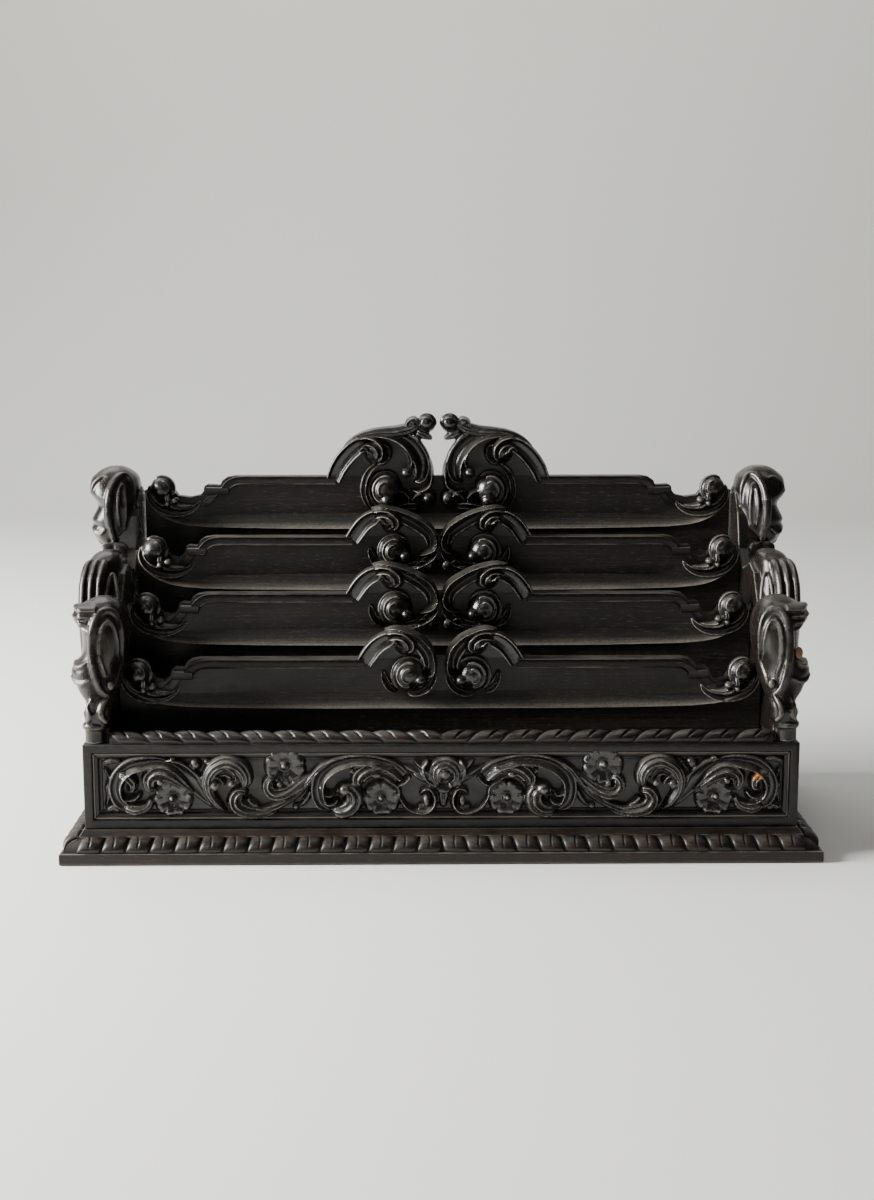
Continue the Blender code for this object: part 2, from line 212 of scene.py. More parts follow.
BOARD = ebony("waxed_ebony_boards", dust=0.35, streaks=0.8, gloss=0.40, shine=0.28)
SIDE_BOARD = ebony("waxed_ebony_side_boards", along="Y", dust=0.35, streaks=0.8, gloss=0.40, shine=0.28)
DIVIDER = ebony("waxed_ebony_dividers", streak="2C1A13", dust=0.6, streaks=0.9, gloss=0.38, shine=0.28)
CREST = ebony("carved_ebony_crests", dust=0.45, streaks=0.45, gloss=0.27, shine=0.6, edge_wear_and_highlight=0.75)
FRIEZE = ebony("carved_ebony_front_panel", dust=0.9, streaks=0.35, gloss=0.28, shine=0.65, edge_wear_and_highlight=0.7)
SIDE_FRIEZE = ebony(
    "carved_ebony_side_panels", along="Y", dust=0.9, streaks=0.35, gloss=0.28, shine=0.65, edge_wear_and_highlight=0.7,
)
MOULDING = ebony("ebony_mouldings", streak="321D15", dust=0.45, streaks=0.8, gloss=0.35, shine=0.34)
SIDE_MOULDING = ebony(
    "ebony_side_mouldings", along="Y", streak="321D15", dust=0.45, streaks=0.8, gloss=0.35, shine=0.34,
)
PLINTH = ebony(
    "reddish_ebony_plinth", heart="120D0B", streak="341E15", dust=0.4, streaks=0.9, gloss=0.38,
    shine=0.3,
)
SIDE_PLINTH = ebony(
    "reddish_ebony_plinth_ends", along="Y", heart="120D0B", streak="341E15", dust=0.4, streaks=0.9,
    gloss=0.38, shine=0.3
)
END_PANEL = ebony(
    "carved_ebony_end_panels", along="Z", heart="0F0C0B", streak="2C1A13", dust=0.3, gloss=0.27,
    shine=0.36, edge_wear_and_highlight=0.3,
)
STEEL = dull_steel("rusted_steel_screws")
BEECH = plain_wood("dry_beech_dowels", "A9855C", "8A6540")
PLUG = plain_wood("brown_hardwood_plug", "7C5B41", "5B3D29")


# ---------------------------------------------------------------- meshes


def piece(name, mesh, material, slot, *nodes):
    """A finished piece: its mesh in place, its finish, and the nodes that it stands for."""
    obj = bpy.data.objects.new(name, mesh)
    bpy.context.scene.collection.objects.link(obj)
    mesh.materials.clear()
    mesh.materials.append(material)
    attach(obj, BODY)
    if nodes:
        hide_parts(*nodes)
    return obj


def mark(mesh, name, values):
    """Give every point a value that the finishes read."""
    attribute = mesh.attributes.get(name) or mesh.attributes.new(name, "FLOAT", "POINT")
    attribute.data.foreach_set("value", np.asarray(values, np.float32))


def corners_of(mesh):
    flat = np.zeros(len(mesh.vertices) * 3)
    mesh.vertices.foreach_get("co", flat)
    return flat.reshape(-1, 3)


def shade(mesh, angle=35):
    mesh.shade_smooth()
    mesh.set_sharp_from_angle(angle=math.radians(angle))


def evaluated(obj):
    """The object's mesh with its modifiers applied; the object is removed."""
    bpy.context.view_layer.update()
    mesh = bpy.data.meshes.new_from_object(obj.evaluated_get(bpy.context.evaluated_depsgraph_get()))
    bpy.data.objects.remove(obj)
    return mesh


def smooth_line(points, spacing=0.7):
    """A curve through given points, resampled to even steps."""
    knots = [Vector(p) for p in points]
    knots = [2 * knots[0] - knots[1], *knots, 2 * knots[-1] - knots[-2]]
    dense = []
    for a, b, c, d in zip(knots, knots[1:], knots[2:], knots[3:]):
        for step in range(16):
            t = step / 16
            square = (2 * a - 5 * b + 4 * c - d) * t * t
            cube = (3 * b - a - 3 * c + d) * t**3
            dense.append(0.5 * (2 * b + (c - a) * t + square + cube))
    dense.append(knots[-2])
    dense = np.array(dense)
    run = np.concatenate([[0], np.cumsum(np.linalg.norm(np.diff(dense, axis=0), axis=1))])
    count = max(4, int(run[-1] / spacing))
    at = np.linspace(0, run[-1], count + 1)
    return np.stack([np.interp(at, run, dense[:, axis]) for axis in range(dense.shape[1])], axis=1)


def spiral(centre, radii, angles, count=9):
    """Points of a spiral about centre, from the first radius and angle (degrees) to the last."""
    turns = np.radians(np.linspace(*angles, count))
    lengths = np.linspace(*radii, count)
    return [(centre[0] + r * math.cos(a), centre[1] + r * math.sin(a)) for r, a in zip(lengths, turns)]


def keyed(values, count):
    """Values set evenly along a stroke, blended smoothly over its stations."""
    values = np.atleast_1d(np.asarray(values, float))
    if len(values) == 1:
        return np.full(count, values[0])
    return np.interp(np.linspace(0, len(values) - 1, count), np.arange(len(values)), values)


def flutes(count, depth=0.45, crown=0.9):
    """The section of a fluted leaf: rounded ribs side by side with sharp valleys between."""
    across = np.linspace(-1, 1, count * 6 + 1)
    arch = np.sqrt(np.maximum(0, 1 - crown * across**2))
    ribs = np.abs(np.sin(count * math.pi * (across + 1) / 2)) ** 0.75
    return list(zip(across, arch * (1 - depth + depth * ribs)))


ROUND = [(math.cos(a), math.sin(a)) for a in np.linspace(math.pi, 0, 9)]
# A strap with a raised fillet on both edges, and one with a high lip on its left and a hollow beside it
STRAP = [(-1, 0.66), (-0.95, 0.94), (-0.82, 1), (-0.72, 0.86), (-0.6, 0.56), (0, 0.46)]
STRAP += [(-a, b) for a, b in reversed(STRAP[:-1])]
LIP = [(-1, 0.3), (-0.9, 0.56), (-0.7, 0.62), (-0.4, 0.45), (0, 0.36), (0.35, 0.5), (0.6, 0.8)]
LIP += [(0.8, 1), (0.93, 0.92), (1, 0.7)]
LIP_RIGHT = [(-a, b) for a, b in reversed(LIP)]
RIDGE = [(-1, 0.1), (-0.6, 0.45), (-0.25, 0.85), (0, 1), (0.25, 0.85), (0.6, 0.45), (1, 0.1)]
# The edge of one roll lapping over the next
STEP = [(-1, 0.05), (-0.5, 0.42), (0, 0.72), (0.45, 0.96), (0.72, 1), (0.92, 0.6), (1, 0)]


class Carving:
    """Closed shells in millimetres: x and y on the ground, z out of it."""

    def __init__(self):
        self.points = []
        self.faces = []
        self.start = np.zeros(3)  # where the next shells are laid
        self.swell = 1.0  # how much fuller than drawn the strokes are cut

    def shell(self, points, faces):
        """Add a closed shell, its faces right side out, laid from the current start."""
        placed = np.asarray(points, float) + self.start
        base = len(self.points)
        self.points.extend(placed.tolist())
        self.faces.extend([[base + i for i in face] for face in faces])

    def rings(self, rings):
        """A shell skinned over rings of points, closed at both ends."""
        count = len(rings[0])
        faces = [list(range(count))[::-1]]
        for ring in range(len(rings) - 1):
            a, b = ring * count, (ring + 1) * count
            for i in range(count):
                j = (i + 1) % count
                faces.append([a + i, a + j, b + j, b + i])
        last = (len(rings) - 1) * count
        faces.append([last + i for i in range(count)])
        self.shell(np.concatenate(rings), faces)

    def stroke(self, points, width, height, section=ROUND, base=0.0, foot=-0.8, ends=(0.12, 0.12)):
        """A chisel stroke along points: its section spans the width and rises to the height.

        ends is the share of the length over which each end rounds off.
        """
        line = smooth_line(points)
        count = len(line)
        ahead = np.gradient(line, axis=0)
        ahead /= np.linalg.norm(ahead, axis=1)[:, None]
        left = np.stack([-ahead[:, 1], ahead[:, 0]], axis=1)
        widths, heights, bases = (keyed(v, count) for v in (width, height, base))
        widths = widths * self.swell
        along = np.linspace(0, 1, count)
        taper = np.ones(count)
        for share, run in ((ends[0], along), (ends[1], 1 - along)):
            if share:
                near = np.clip(run / share, 0, 1)
                taper *= np.sqrt(np.maximum(0.002, 1 - (1 - near) ** 2))
        rings = []
        for i in range(count):
            ring = []
            for a, b in section:
                x, y = line[i] + left[i] * a * widths[i] / 2 * taper[i]
                ring.append((x, y, bases[i] + b * heights[i] * taper[i]))
            for a in (1, -1):
                x, y = line[i] + left[i] * a * widths[i] / 2 * taper[i]
                ring.append((x, y, foot))
            rings.append(np.array(ring))
        self.rings(rings)

    def ribbon(self, points, width, height, section, middle=0.0, inward=3.0, ends=(0.0, 0.1)):
        """A strap seen edge on: it follows points in the plane and spans its width out of the plane."""
        line = smooth_line(points, 1.0)
        count = len(line)
        ahead = np.gradient(line, axis=0)
        ahead /= np.linalg.norm(ahead, axis=1)[:, None]
        out = np.stack([-ahead[:, 1], ahead[:, 0]], axis=1)
        widths, heights, middles = (keyed(v, count) for v in (width, height, middle))
        depths = keyed(inward, count)
        along = np.linspace(0, 1, count)
        taper = np.ones(count)
        for share, run in ((ends[0], along), (ends[1], 1 - along)):
            if share:
                near = np.clip(run / share, 0, 1)
                taper *= np.sqrt(np.maximum(0.01, 1 - (1 - near) ** 2))
        rings = []
        for i in range(count):
            ring = []
            for a, b in section:
                x, y = line[i] + out[i] * b * heights[i] * taper[i]
                ring.append((x, y, middles[i] + a * widths[i] / 2 * taper[i]))
            x, y = line[i] - out[i] * depths[i] * taper[i]
            for a in (1, -1):
                ring.append((x, y, middles[i] + 0.8 * a * widths[i] / 2 * taper[i]))
            rings.append(np.array(ring)[::-1])
        self.rings(rings)

    def cord(self, points, thick):
        """A round cord through points in space."""
        line = np.array(points, float)
        ahead = np.gradient(line, axis=0)
        ahead /= np.linalg.norm(ahead, axis=1)[:, None]
        thickness = keyed(thick, len(line))
        rings = []
        for centre, way, radius in zip(line, ahead, thickness):
            first = np.cross(way, (1.0, 0.0, 0.02))
            first /= np.linalg.norm(first)
            second = np.cross(way, first)
            turns = np.linspace(0, 2 * math.pi, 10, endpoint=False)
            ring = [centre + radius * (math.cos(a) * first + math.sin(a) * second) for a in turns]
            rings.append(np.array(ring))
        self.rings(rings)

    def column(self, rows, sides=44, steps=90):
        """An upright form of given rows: height, inner and outer edge, front and back."""
        rows = np.array(rows, float)
        line = smooth_line([tuple(row) for row in rows], 0.6)
        order = np.argsort(line[:, 0])
        heights = np.linspace(rows[0, 0], rows[-1, 0], steps)
        sizes = np.stack([np.interp(heights, line[order, 0], line[order, k]) for k in range(1, 5)], axis=1)
        turns = np.linspace(0, 2 * math.pi, sides, endpoint=False)
        square = 0.84
        deep = np.sign(np.cos(turns)) * np.abs(np.cos(turns)) ** square
        wide = np.sign(np.sin(turns)) * np.abs(np.sin(turns)) ** square
        rings = []
        for height, (inner, outer, front, back) in zip(heights, sizes):
            x = (front + back) / 2 - (back - front) / 2 * deep
            z = (inner + outer) / 2 + (outer - inner) / 2 * wide
            rings.append(np.stack([x, np.full(sides, height), z], axis=1))
        self.rings(rings)

        def skin(height, out):
            inner, outer, front, back = (np.interp(height, heights, sizes[:, k]) for k in range(4))
            share = np.clip(abs(out - (inner + outer) / 2) / ((outer - inner) / 2), 0, 0.985)
            return (front + back) / 2 - (back - front) / 2 * (1 - share ** (2 / square)) ** (square / 2)

        return skin

    def vein(self, skin, path, thick):
        """A cord lying on the front of a column; path is (out, height)."""
        line = smooth_line(path, 0.8)
        self.cord([(skin(height, out), height, out) for out, height in line], thick)

    def ball(self, centre, radius, height=None, base=0.0, tilt=0.0):
        """A round or oval boss; radius is one number or (x, y)."""
        rx, ry = (radius, radius) if np.isscalar(radius) else radius
        rz = height if height is not None else rx
        bm = bmesh.new()
        bmesh.ops.create_uvsphere(bm, u_segments=20, v_segments=12, radius=1)
        lay = Matrix.Rotation(math.radians(tilt), 4, "Z") @ Matrix.Diagonal((rx, ry, rz, 1))
        points = [np.array(lay @ v.co) + (*centre, base) for v in bm.verts]
        faces = [[v.index for v in f.verts] for f in bm.faces]
        bm.free()
        self.shell(points, faces)

    def dome(self, centre, radii, height, arcs=(), base=0.0, line=2.6, lift=1.1):
        """A rounded boss with rolls lapping round it; arcs are (share of radius, share, from, to degrees)."""
        rx, ry = (radii, radii) if np.isscalar(radii) else radii
        self.ball(centre, (rx, ry), height, base)
        for first, last, start, end in arcs:
            shares = np.linspace(first, last, 13)
            turns = np.radians(np.linspace(start, end, 13))
            path = [
                (centre[0] + rx * s * math.cos(a), centre[1] + ry * s * math.sin(a))
                for s, a in zip(shares, turns)
            ]
            rise = [base + height * math.sqrt(max(0.06, 1 - s * s)) - 0.35 * lift for s in shares]
            self.stroke(path, line, lift, STEP, rise, min(base, -1.0), (0.15, 0.15))

    def turned(self, centre, profile, sides=32):
        """A small column turned about the local y axis: profile is (height, radius)."""
        x, z = centre
        turns = np.linspace(0, 2 * math.pi, sides, endpoint=False)
        rings = []
        for height, radius in profile:
            ring = [(x + radius * math.cos(a), height, z - radius * math.sin(a)) for a in turns]
            rings.append(np.array(ring))
        self.rings(rings)

    def slab(self, outline, low, high):
        """A flat board of any outline, its points in order anticlockwise."""
        count = len(outline)
        rings = [np.array([(x, y, z) for x, y in outline]) for z in (low, high)]
        faces = [list(range(count))[::-1], list(range(count, 2 * count))]
        faces += [[i, (i + 1) % count, count + (i + 1) % count, count + i] for i in range(count)]
        self.shell(np.concatenate(rings), faces)

    def flower(self, centre, radius, height, petals=5, turn=20, base=0.0):
        """Broad cupped petals, each with a vein, round a drilled button."""
        cup = [
            (-1, 0.3), (-0.9, 0.7), (-0.7, 0.94), (-0.3, 0.9), (-0.08, 0.86), (0, 0.74), (0.08, 0.86),
            (0.3, 0.9),
        ]
        cup += [(0.7, 0.94), (0.9, 0.7), (1, 0.3)]
        for k in range(petals):
            angle = math.radians(turn + 360 / petals * k)
            way = np.array([math.cos(angle), math.sin(angle)])
            path = [np.array(centre) + way * radius * share for share in (0.12, 0.5, 0.85, 1.16)]
            width = [radius * share / self.swell for share in (0.4, 0.9, 1.22, 1.16)]
            self.stroke(
                path, width, [height * 0.45, height * 0.8, height, height * 0.9], cup, base,
                ends=(0, 0.3),
            )
        self.ball(centre, radius * 0.26, height * 0.55, base + height * 0.62)
        self.ball((centre[0] - 0.4, centre[1] + 0.6), radius * 0.15, height * 0.4, base + height * 1.0)

    def mirror(self, axis=0.0, first=0):
        """Repeat everything drawn since point number first on the other side of x = axis."""
        base = len(self.points)
        self.points.extend([(2 * axis - x, y, z) for x, y, z in self.points[first:]])
        shift = base - first
        self.faces.extend([[i + shift for i in face[::-1]] for face in self.faces if face[0] >= first])

    def fused(self, name, voxel, limit=190000, soften=2, cut=None, ground=None):
        """One body from all the shells, softened like worn carving, with its hollows marked."""
        mesh = bpy.data.meshes.new(name)
        mesh.from_pydata(self.points, [], self.faces)
        holder = bpy.data.objects.new(name, mesh)
        bpy.context.scene.collection.objects.link(holder)
        remesh = holder.modifiers.new("fuse", "REMESH")
        remesh.mode = "VOXEL"
        remesh.voxel_size = voxel
        mesh = evaluated(holder)
        if cut is not None:
            mesh = cut_flat(mesh, cut)
        relax(mesh, soften)
        triangles = sum(len(polygon.vertices) - 2 for polygon in mesh.polygons)
        if triangles > limit:
            mesh = thinned(mesh, limit / triangles)
        depth = hollows(mesh, 5)
        depth /= np.percentile(np.abs(depth), 96)
        # Near the ground the hollow mark rises, painting shade on the ground of the relief
        if ground is not None:
            depth = np.maximum(depth, 0.8 - 0.35 * (corners_of(mesh)[:, 2] - ground))
        mark(mesh, "hollow", depth)
        shade(mesh, 60)
        return mesh


def cut_flat(mesh, level):
    """Take off what lies below a level and close the cut with one flat face."""
    bm = bmesh.new()
    bm.from_mesh(mesh)
    everything = bm.verts[:] + bm.edges[:] + bm.faces[:]
    bmesh.ops.bisect_plane(
        bm, geom=everything, plane_co=(0, 0, level), plane_no=(0, 0, -1), clear_outer=True,
    )
    bmesh.ops.holes_fill(bm, edges=[edge for edge in bm.edges if edge.is_boundary], sides=0)
    bmesh.ops.triangulate(bm, faces=[face for face in bm.faces if len(face.verts) > 4])
    bm.to_mesh(mesh)
    bm.free()
    return mesh


def thinned(mesh, share):
    """The mesh with only a share of its triangles."""
    holder = bpy.data.objects.new(mesh.name, mesh)
    bpy.context.scene.collection.objects.link(holder)
    decimate = holder.modifiers.new("thin", "DECIMATE")
    decimate.ratio = share
    return evaluated(holder)


def spread(mesh, values, rounds):
    """Each point's value blended with its neighbours', some rounds over."""
    ends = np.zeros(len(mesh.edges) * 2, int)
    mesh.edges.foreach_get("vertices", ends)
    a, b = ends.reshape(-1, 2).T
    count = len(mesh.vertices)
    near = np.maximum(1, np.bincount(a, minlength=count) + np.bincount(b, minlength=count))
    for _ in range(rounds):
        columns = []
        for column in values.T:
            total = np.bincount(a, column[b], count) + np.bincount(b, column[a], count)
            columns.append(0.5 * column + 0.5 * total / near)
        values = np.stack(columns, axis=1)
    return values


def relax(mesh, rounds):
    """Smooth the surface as rubbing and wax do."""
    mesh.vertices.foreach_set("co", spread(mesh, corners_of(mesh), rounds).ravel())
    mesh.update()


def hollows(mesh, rounds):
    """How far each point lies below its surroundings; ridges come out negative."""
    points = corners_of(mesh)
    normals = np.zeros(len(mesh.vertices) * 3)
    mesh.vertices.foreach_get("normal", normals)
    return ((spread(mesh, points, rounds) - points) * normals.reshape(-1, 3)).sum(axis=1)


def laid(mesh, turn, origin):
    """A carving in millimetres taken to its place in metres."""
    mesh.transform(Matrix.Translation(origin) @ (turn * MM).to_4x4())
    if turn.determinant() < 0:
        mesh.flip_normals()
    return mesh


def bare_patch(mesh, centre, radius):
    """Mark a spot where a chip shows the wood under the dark skin."""
    away = np.linalg.norm((corners_of(mesh) - np.array(centre)) / np.array(radius), axis=1)
    mark(mesh, "bare", np.clip(1.6 - 1.2 * away, 0, 1))


def softened(node, width, hollow=0.0):
    """A board's own mesh with its arrises eased by wear."""
    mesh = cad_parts[node].data.copy()
    bm = bmesh.new()
    bm.from_mesh(mesh)
    bmesh.ops.remove_doubles(bm, verts=bm.verts, dist=2e-6)
    bmesh.ops.dissolve_limit(bm, angle_limit=math.radians(0.6), verts=bm.verts, edges=bm.edges)
    bm.to_mesh(mesh)
    bm.free()
    holder = bpy.data.objects.new(node + "_eased", mesh)
    bpy.context.scene.collection.objects.link(holder)
    bevel = holder.modifiers.new("ease", "BEVEL")
    bevel.width = width
    bevel.segments = 2
    bevel.limit_method = "ANGLE"
    bevel.angle_limit = math.radians(40)
    mesh = evaluated(holder)
    shade(mesh, 40)
    mark(mesh, "hollow", np.full(len(mesh.vertices), hollow))
    return mesh


# ---------------------------------------------------------------- straight mouldings


def strip(name, section, length, mitre, wave=0.00012, step=0.004, seed=0.0):
    """A moulding along local X, its outer edge at y = 0; section is (inset, height, hollow).

    The ends are mitred where mitre is 1 and square where it is 0; the arrises waver a little.
    """
    count = max(2, round(length / step))
    points, faces, marks = [], [], []
    sides = len(section)
    for i in range(count + 1):
        share = 2 * i / count - 1
        for inset, height, hollow in section:
            x = share * (length / 2 - mitre * inset - GAP)
            waver = noise.noise((x * 60 + seed, inset * 900, height * 700)) * wave * (hollow < -0.2)
            points.append((x, inset + max(0, waver), height - max(0, -waver)))
            # The hollow mark: high values paint shade, strongly negative ones a rubbed arris with a painted
            # highlight
            marks.append(hollow)
    for i in range(count):
        for k in range(sides):
            a, b = i * sides + k, i * sides + (k + 1) % sides
            faces.append((a, b, b + sides, a + sides))
    faces.append(tuple(range(sides))[::-1])
    faces.append(tuple(count * sides + k for k in range(sides)))
    bm = bmesh.new()
    mesh = bpy.data.meshes.new(name)
    mesh.from_pydata(points, [], faces)
    mark(mesh, "hollow", marks)
    bm.from_mesh(mesh)
    bmesh.ops.recalc_face_normals(bm, faces=bm.faces)
    bm.to_mesh(mesh)
    bm.free()
    shade(mesh, 28)
    return mesh


def gadroon(pitch, lean, track, height, notch, skirt=0.0012):
    """One gadroon with a hooked groove in it, cut from its inner end: notch is (place, depth, start).

    track is the moulding's surface, (inset, height) by share from the outside in.
    """
    across, along = 40, 17
    points, faces, marks = [], [], []
    track = np.array(track)
    shares = np.linspace(0, 1, along)
    given = np.linspace(0, 1, len(track))
    where = np.stack([np.interp(shares, given, track[:, k]) for k in (0, 1)], axis=1)
    ahead = np.gradient(where, axis=0)
    ahead /= np.linalg.norm(ahead, axis=1)[:, None]
    out = np.stack([-ahead[:, 1], ahead[:, 0]], axis=1)
    for j, s in enumerate(shares):
        end = max(0.0, 1 - abs(2 * s - 1) ** 4) ** 0.5
        for i in range(across + 1):
            a = i / across
            lobe = math.sin(math.pi * (a - 0.04) / 0.92) ** 0.38 if 0.04 < a < 0.96 else 0.0
            place, cut, start = notch
            hook = abs(a - place - 0.30 * (s - start) ** 2)
            lobe -= cut * max(0, 1 - hook / 0.06) * max(0, min(1, (s - start) * 5))
            bend = lean * ((s - 0.5) + 0.5 * (0.25 - (s - 0.5) ** 2))
            lift = height * max(0, lobe) * end - 0.0001
            y, z = where[j] + out[j] * lift
            points.append((pitch * (a - 0.5 + bend), y, z))
            # Painted shade in the gaps and the hooked groove between the lobes, set by the hollow mark
            marks.append(0.9 - 1.15 * max(0, lobe) * end)
    base = len(points)
    for j in range(along):
        for i in range(across + 1):
            x = points[j * (across + 1) + i][0]
            y, z = where[j] - out[j] * skirt
            points.append((x, y, z))
            # The skirt takes a little painted shade
            marks.append(0.5)
    row = across + 1
    for j in range(along - 1):
        for i in range(across):
            a = j * row + i
            faces.append((a, a + 1, a + 1 + row, a + row))
            faces.append((base + a, base + a + row, base + a + row + 1, base + a + 1))
    rim = list(range(row)) + [j * row + across for j in range(1, along)]
    rim += [(along - 1) * row + i for i in range(across - 1, -1, -1)]
    rim += [j * row for j in range(along - 2, 0, -1)]
    for a, b in zip(rim, rim[1:] + rim[:1]):
        faces.append((a, base + a, base + b, b))
    mesh = bpy.data.meshes.new("gadroon")
    mesh.from_pydata(points, [], faces)
    mark(mesh, "hollow", marks)
    bm = bmesh.new()
    bm.from_mesh(mesh)
    bmesh.ops.recalc_face_normals(bm, faces=bm.faces)
    bm.to_mesh(mesh)
    bm.free()
    shade(mesh, 50)
    return mesh


def row_tree():
    """Geometry Nodes: one carved unit repeated both ways from the middle, the left half mirrored."""
    tree = bpy.data.node_groups.new("row_of_gadroons", "GeometryNodeTree")
    face = tree.interface
    face.new_socket("Unit", in_out="INPUT", socket_type="NodeSocketGeometry")
    face.new_socket("Count each side", in_out="INPUT", socket_type="NodeSocketInt")
    face.new_socket("Pitch", in_out="INPUT", socket_type="NodeSocketFloat")
    face.new_socket("Finish", in_out="INPUT", socket_type="NodeSocketMaterial")
    face.new_socket("Row", in_out="OUTPUT", socket_type="NodeSocketGeometry")
    given = add(tree, "NodeGroupInput")
    halves = []
    for way in (1, -1):
        step = add(tree, "ShaderNodeMath", {0: given.outputs["Pitch"], 1: float(way)}, operation="MULTIPLY")
        first = add(tree, "ShaderNodeMath", {0: step.outputs[0], 1: 0.5}, operation="MULTIPLY")
        line = add(
            tree,
            "GeometryNodeMeshLine",
            {
                "Count": given.outputs["Count each side"],
                "Start Location": add(tree, "ShaderNodeCombineXYZ", {0: first.outputs[0]}).outputs[0],
                "Offset": add(tree, "ShaderNodeCombineXYZ", {0: step.outputs[0]}).outputs[0],
            },
        )
        copies = add(
            tree,
            "GeometryNodeInstanceOnPoints",
            {"Points": line.outputs[0], "Instance": given.outputs["Unit"], "Scale": (float(way), 1, 1)},
        )
        real = add(tree, "GeometryNodeRealizeInstances", {0: copies.outputs[0]})
        if way < 0:
            real = add(tree, "GeometryNodeFlipFaces", {0: real.outputs[0]})
        halves.append(real)
    both = add(tree, "GeometryNodeJoinGeometry")
    for half in halves:
        tree.links.new(half.outputs[0], both.inputs[0])
    painted = add(
        tree, "GeometryNodeSetMaterial", {"Geometry": both.outputs[0], "Material": given.outputs["Finish"]}
    )
    add(tree, "NodeGroupOutput", {0: painted.outputs[0]})
    return tree


ROW = row_tree()


def gadroon_row(name, unit, count, pitch, material):
    """count units each side of the middle, made real."""
    holder = bpy.data.objects.new(name, unit)
    bpy.context.scene.collection.objects.link(holder)
    row = holder.modifiers.new("row", "NODES")
    row.node_group = ROW
    identifiers = {item.name: item.identifier for item in ROW.interface.items_tree}
    row[identifiers["Count each side"]] = count
    row[identifiers["Pitch"]] = pitch
    row[identifiers["Finish"]] = material
    return evaluated(holder)


def joined(name, meshes):
    """Several meshes as one, their marks kept."""
    holders = [bpy.data.objects.new(name, mesh) for mesh in meshes]
    for holder in holders:
        bpy.context.scene.collection.objects.link(holder)
    with bpy.context.temp_override(
        active_object=holders[0],
        object=holders[0],
        selected_editable_objects=holders,
        selected_objects=holders,
    ):
        bpy.ops.object.join()
    mesh = holders[0].data
    bpy.data.objects.remove(holders[0])
    return mesh


def frame_lay(turn, width, depth, height=0.0):
    """Local X along one side of a rectangle, local +Y pointing inwards, side by side anticlockwise."""
    across = depth if turn % 2 == 0 else width
    return Matrix.Rotation(turn * math.pi / 2, 4, "Z") @ Matrix.Translation((0, -across / 2, height))


SIDE_NAMES = ("front", "right", "back", "left")


def plinth():
    """The base's edge: square worn foot, a swelling ramp of gadroons and a canted fillet under the box."""
    low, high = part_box("plinth_front")
    width, top = high.x - low.x, high.z
    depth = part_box("plinth_back")[1].y - low.y
    edge, ramp_top, ramp_in = 0.0068, 0.0134, 0.0095
    ramp_points = []
    for k in range(9):
        angle = k * math.pi / 16
        inward = 0.0012 + (ramp_in - 0.0012) * (1 - math.cos(angle))
        ramp_points.append((inward, edge + (ramp_top - edge) * math.sin(angle)))
    # Third values are hollow marks: painted shade on the ramp under the gadroons, and -1 for rubbed arrises
    # with a painted highlight
    section = [
        (0, 0.0006, -0.7), (0, edge * 0.5, -0.15), (0, edge - 0.0007, -0.3), (0.0005, edge, -1),
        (0.0012, edge, 0.6),
    ]
    section += [(inset + 0.0007, up - 0.0011, 1.0) for inset, up in ramp_points[1:-1]]
    section += [
        (ramp_in, ramp_top - 0.0001, 0.9), (ramp_in + 0.0002, ramp_top + 0.0005, -1),
        (ramp_in + 0.0008, ramp_top + 0.0006, -0.2),
    ]
    section += [
        (0.0112, 0.0150, -0.1), (0.0121, 0.0166, 0.1), (0.0125, top, -0.7), (0.0132, top, 0.3),
        (0.014, top, 0.6),
    ]
    section += [(0.014, 0, 0), (0.0006, 0, -0.4)]
    for turn, side in enumerate(SIDE_NAMES):
        length = width if turn % 2 == 0 else depth
        finish = PLINTH if turn % 2 == 0 else SIDE_PLINTH
        body = strip("plinth_" + side, section, length, 1, seed=turn * 9.0)
        count = round((length - 0.022) / 0.0134 / 2)
        pitch = (length - 0.021) / count / 2
        unit = gadroon(pitch, -0.20, ramp_points, 0.0022, (0.50, 0.24, 0.2))
        row = gadroon_row("gadroons_" + side, unit, count, pitch, finish)
        mesh = joined("plinth_" + side, [body, row])
        mesh.transform(frame_lay(turn, width, depth))
        piece("plinth_moulding_" + side, mesh, finish, "ebony_plinth", "plinth_" + side)


def rail():
    """The rope of slanting gadroons along the box's front rail."""
    low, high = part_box("rail_gadroon")
    length, width, height = high.x - low.x, high.y - low.y, high.z - low.z
    half = width / 2 - 0.0002
    track = [
        (half * (1 - math.cos(a)), height * 0.74 * math.sin(a))
        for a in np.linspace(0.06, math.pi - 0.06, 13)
    ]
    pitch = length / 20
    unit = gadroon(pitch, 0.56, track, height * 0.32, (0.56, 1.2, 0.16), 0.0008)
    row = gadroon_row("rail_gadroons", unit, 10, pitch, MOULDING)
    # The core between and under the gadroons carries painted shade through its hollow mark
    core = [
        (half * (1 - math.cos(a)), height * 0.69 * math.sin(a), 1.3)
        for a in np.linspace(0, math.pi, 13)
    ]
    body = strip("rail_core", core, length, 0)
    mesh = joined("rail_moulding", [body, row])
    mesh.transform(Matrix.Translation((0, low.y + 0.0002, low.z)))
    piece("rail_moulding", mesh, MOULDING, "ebony_mouldings", "rail_gadroon")


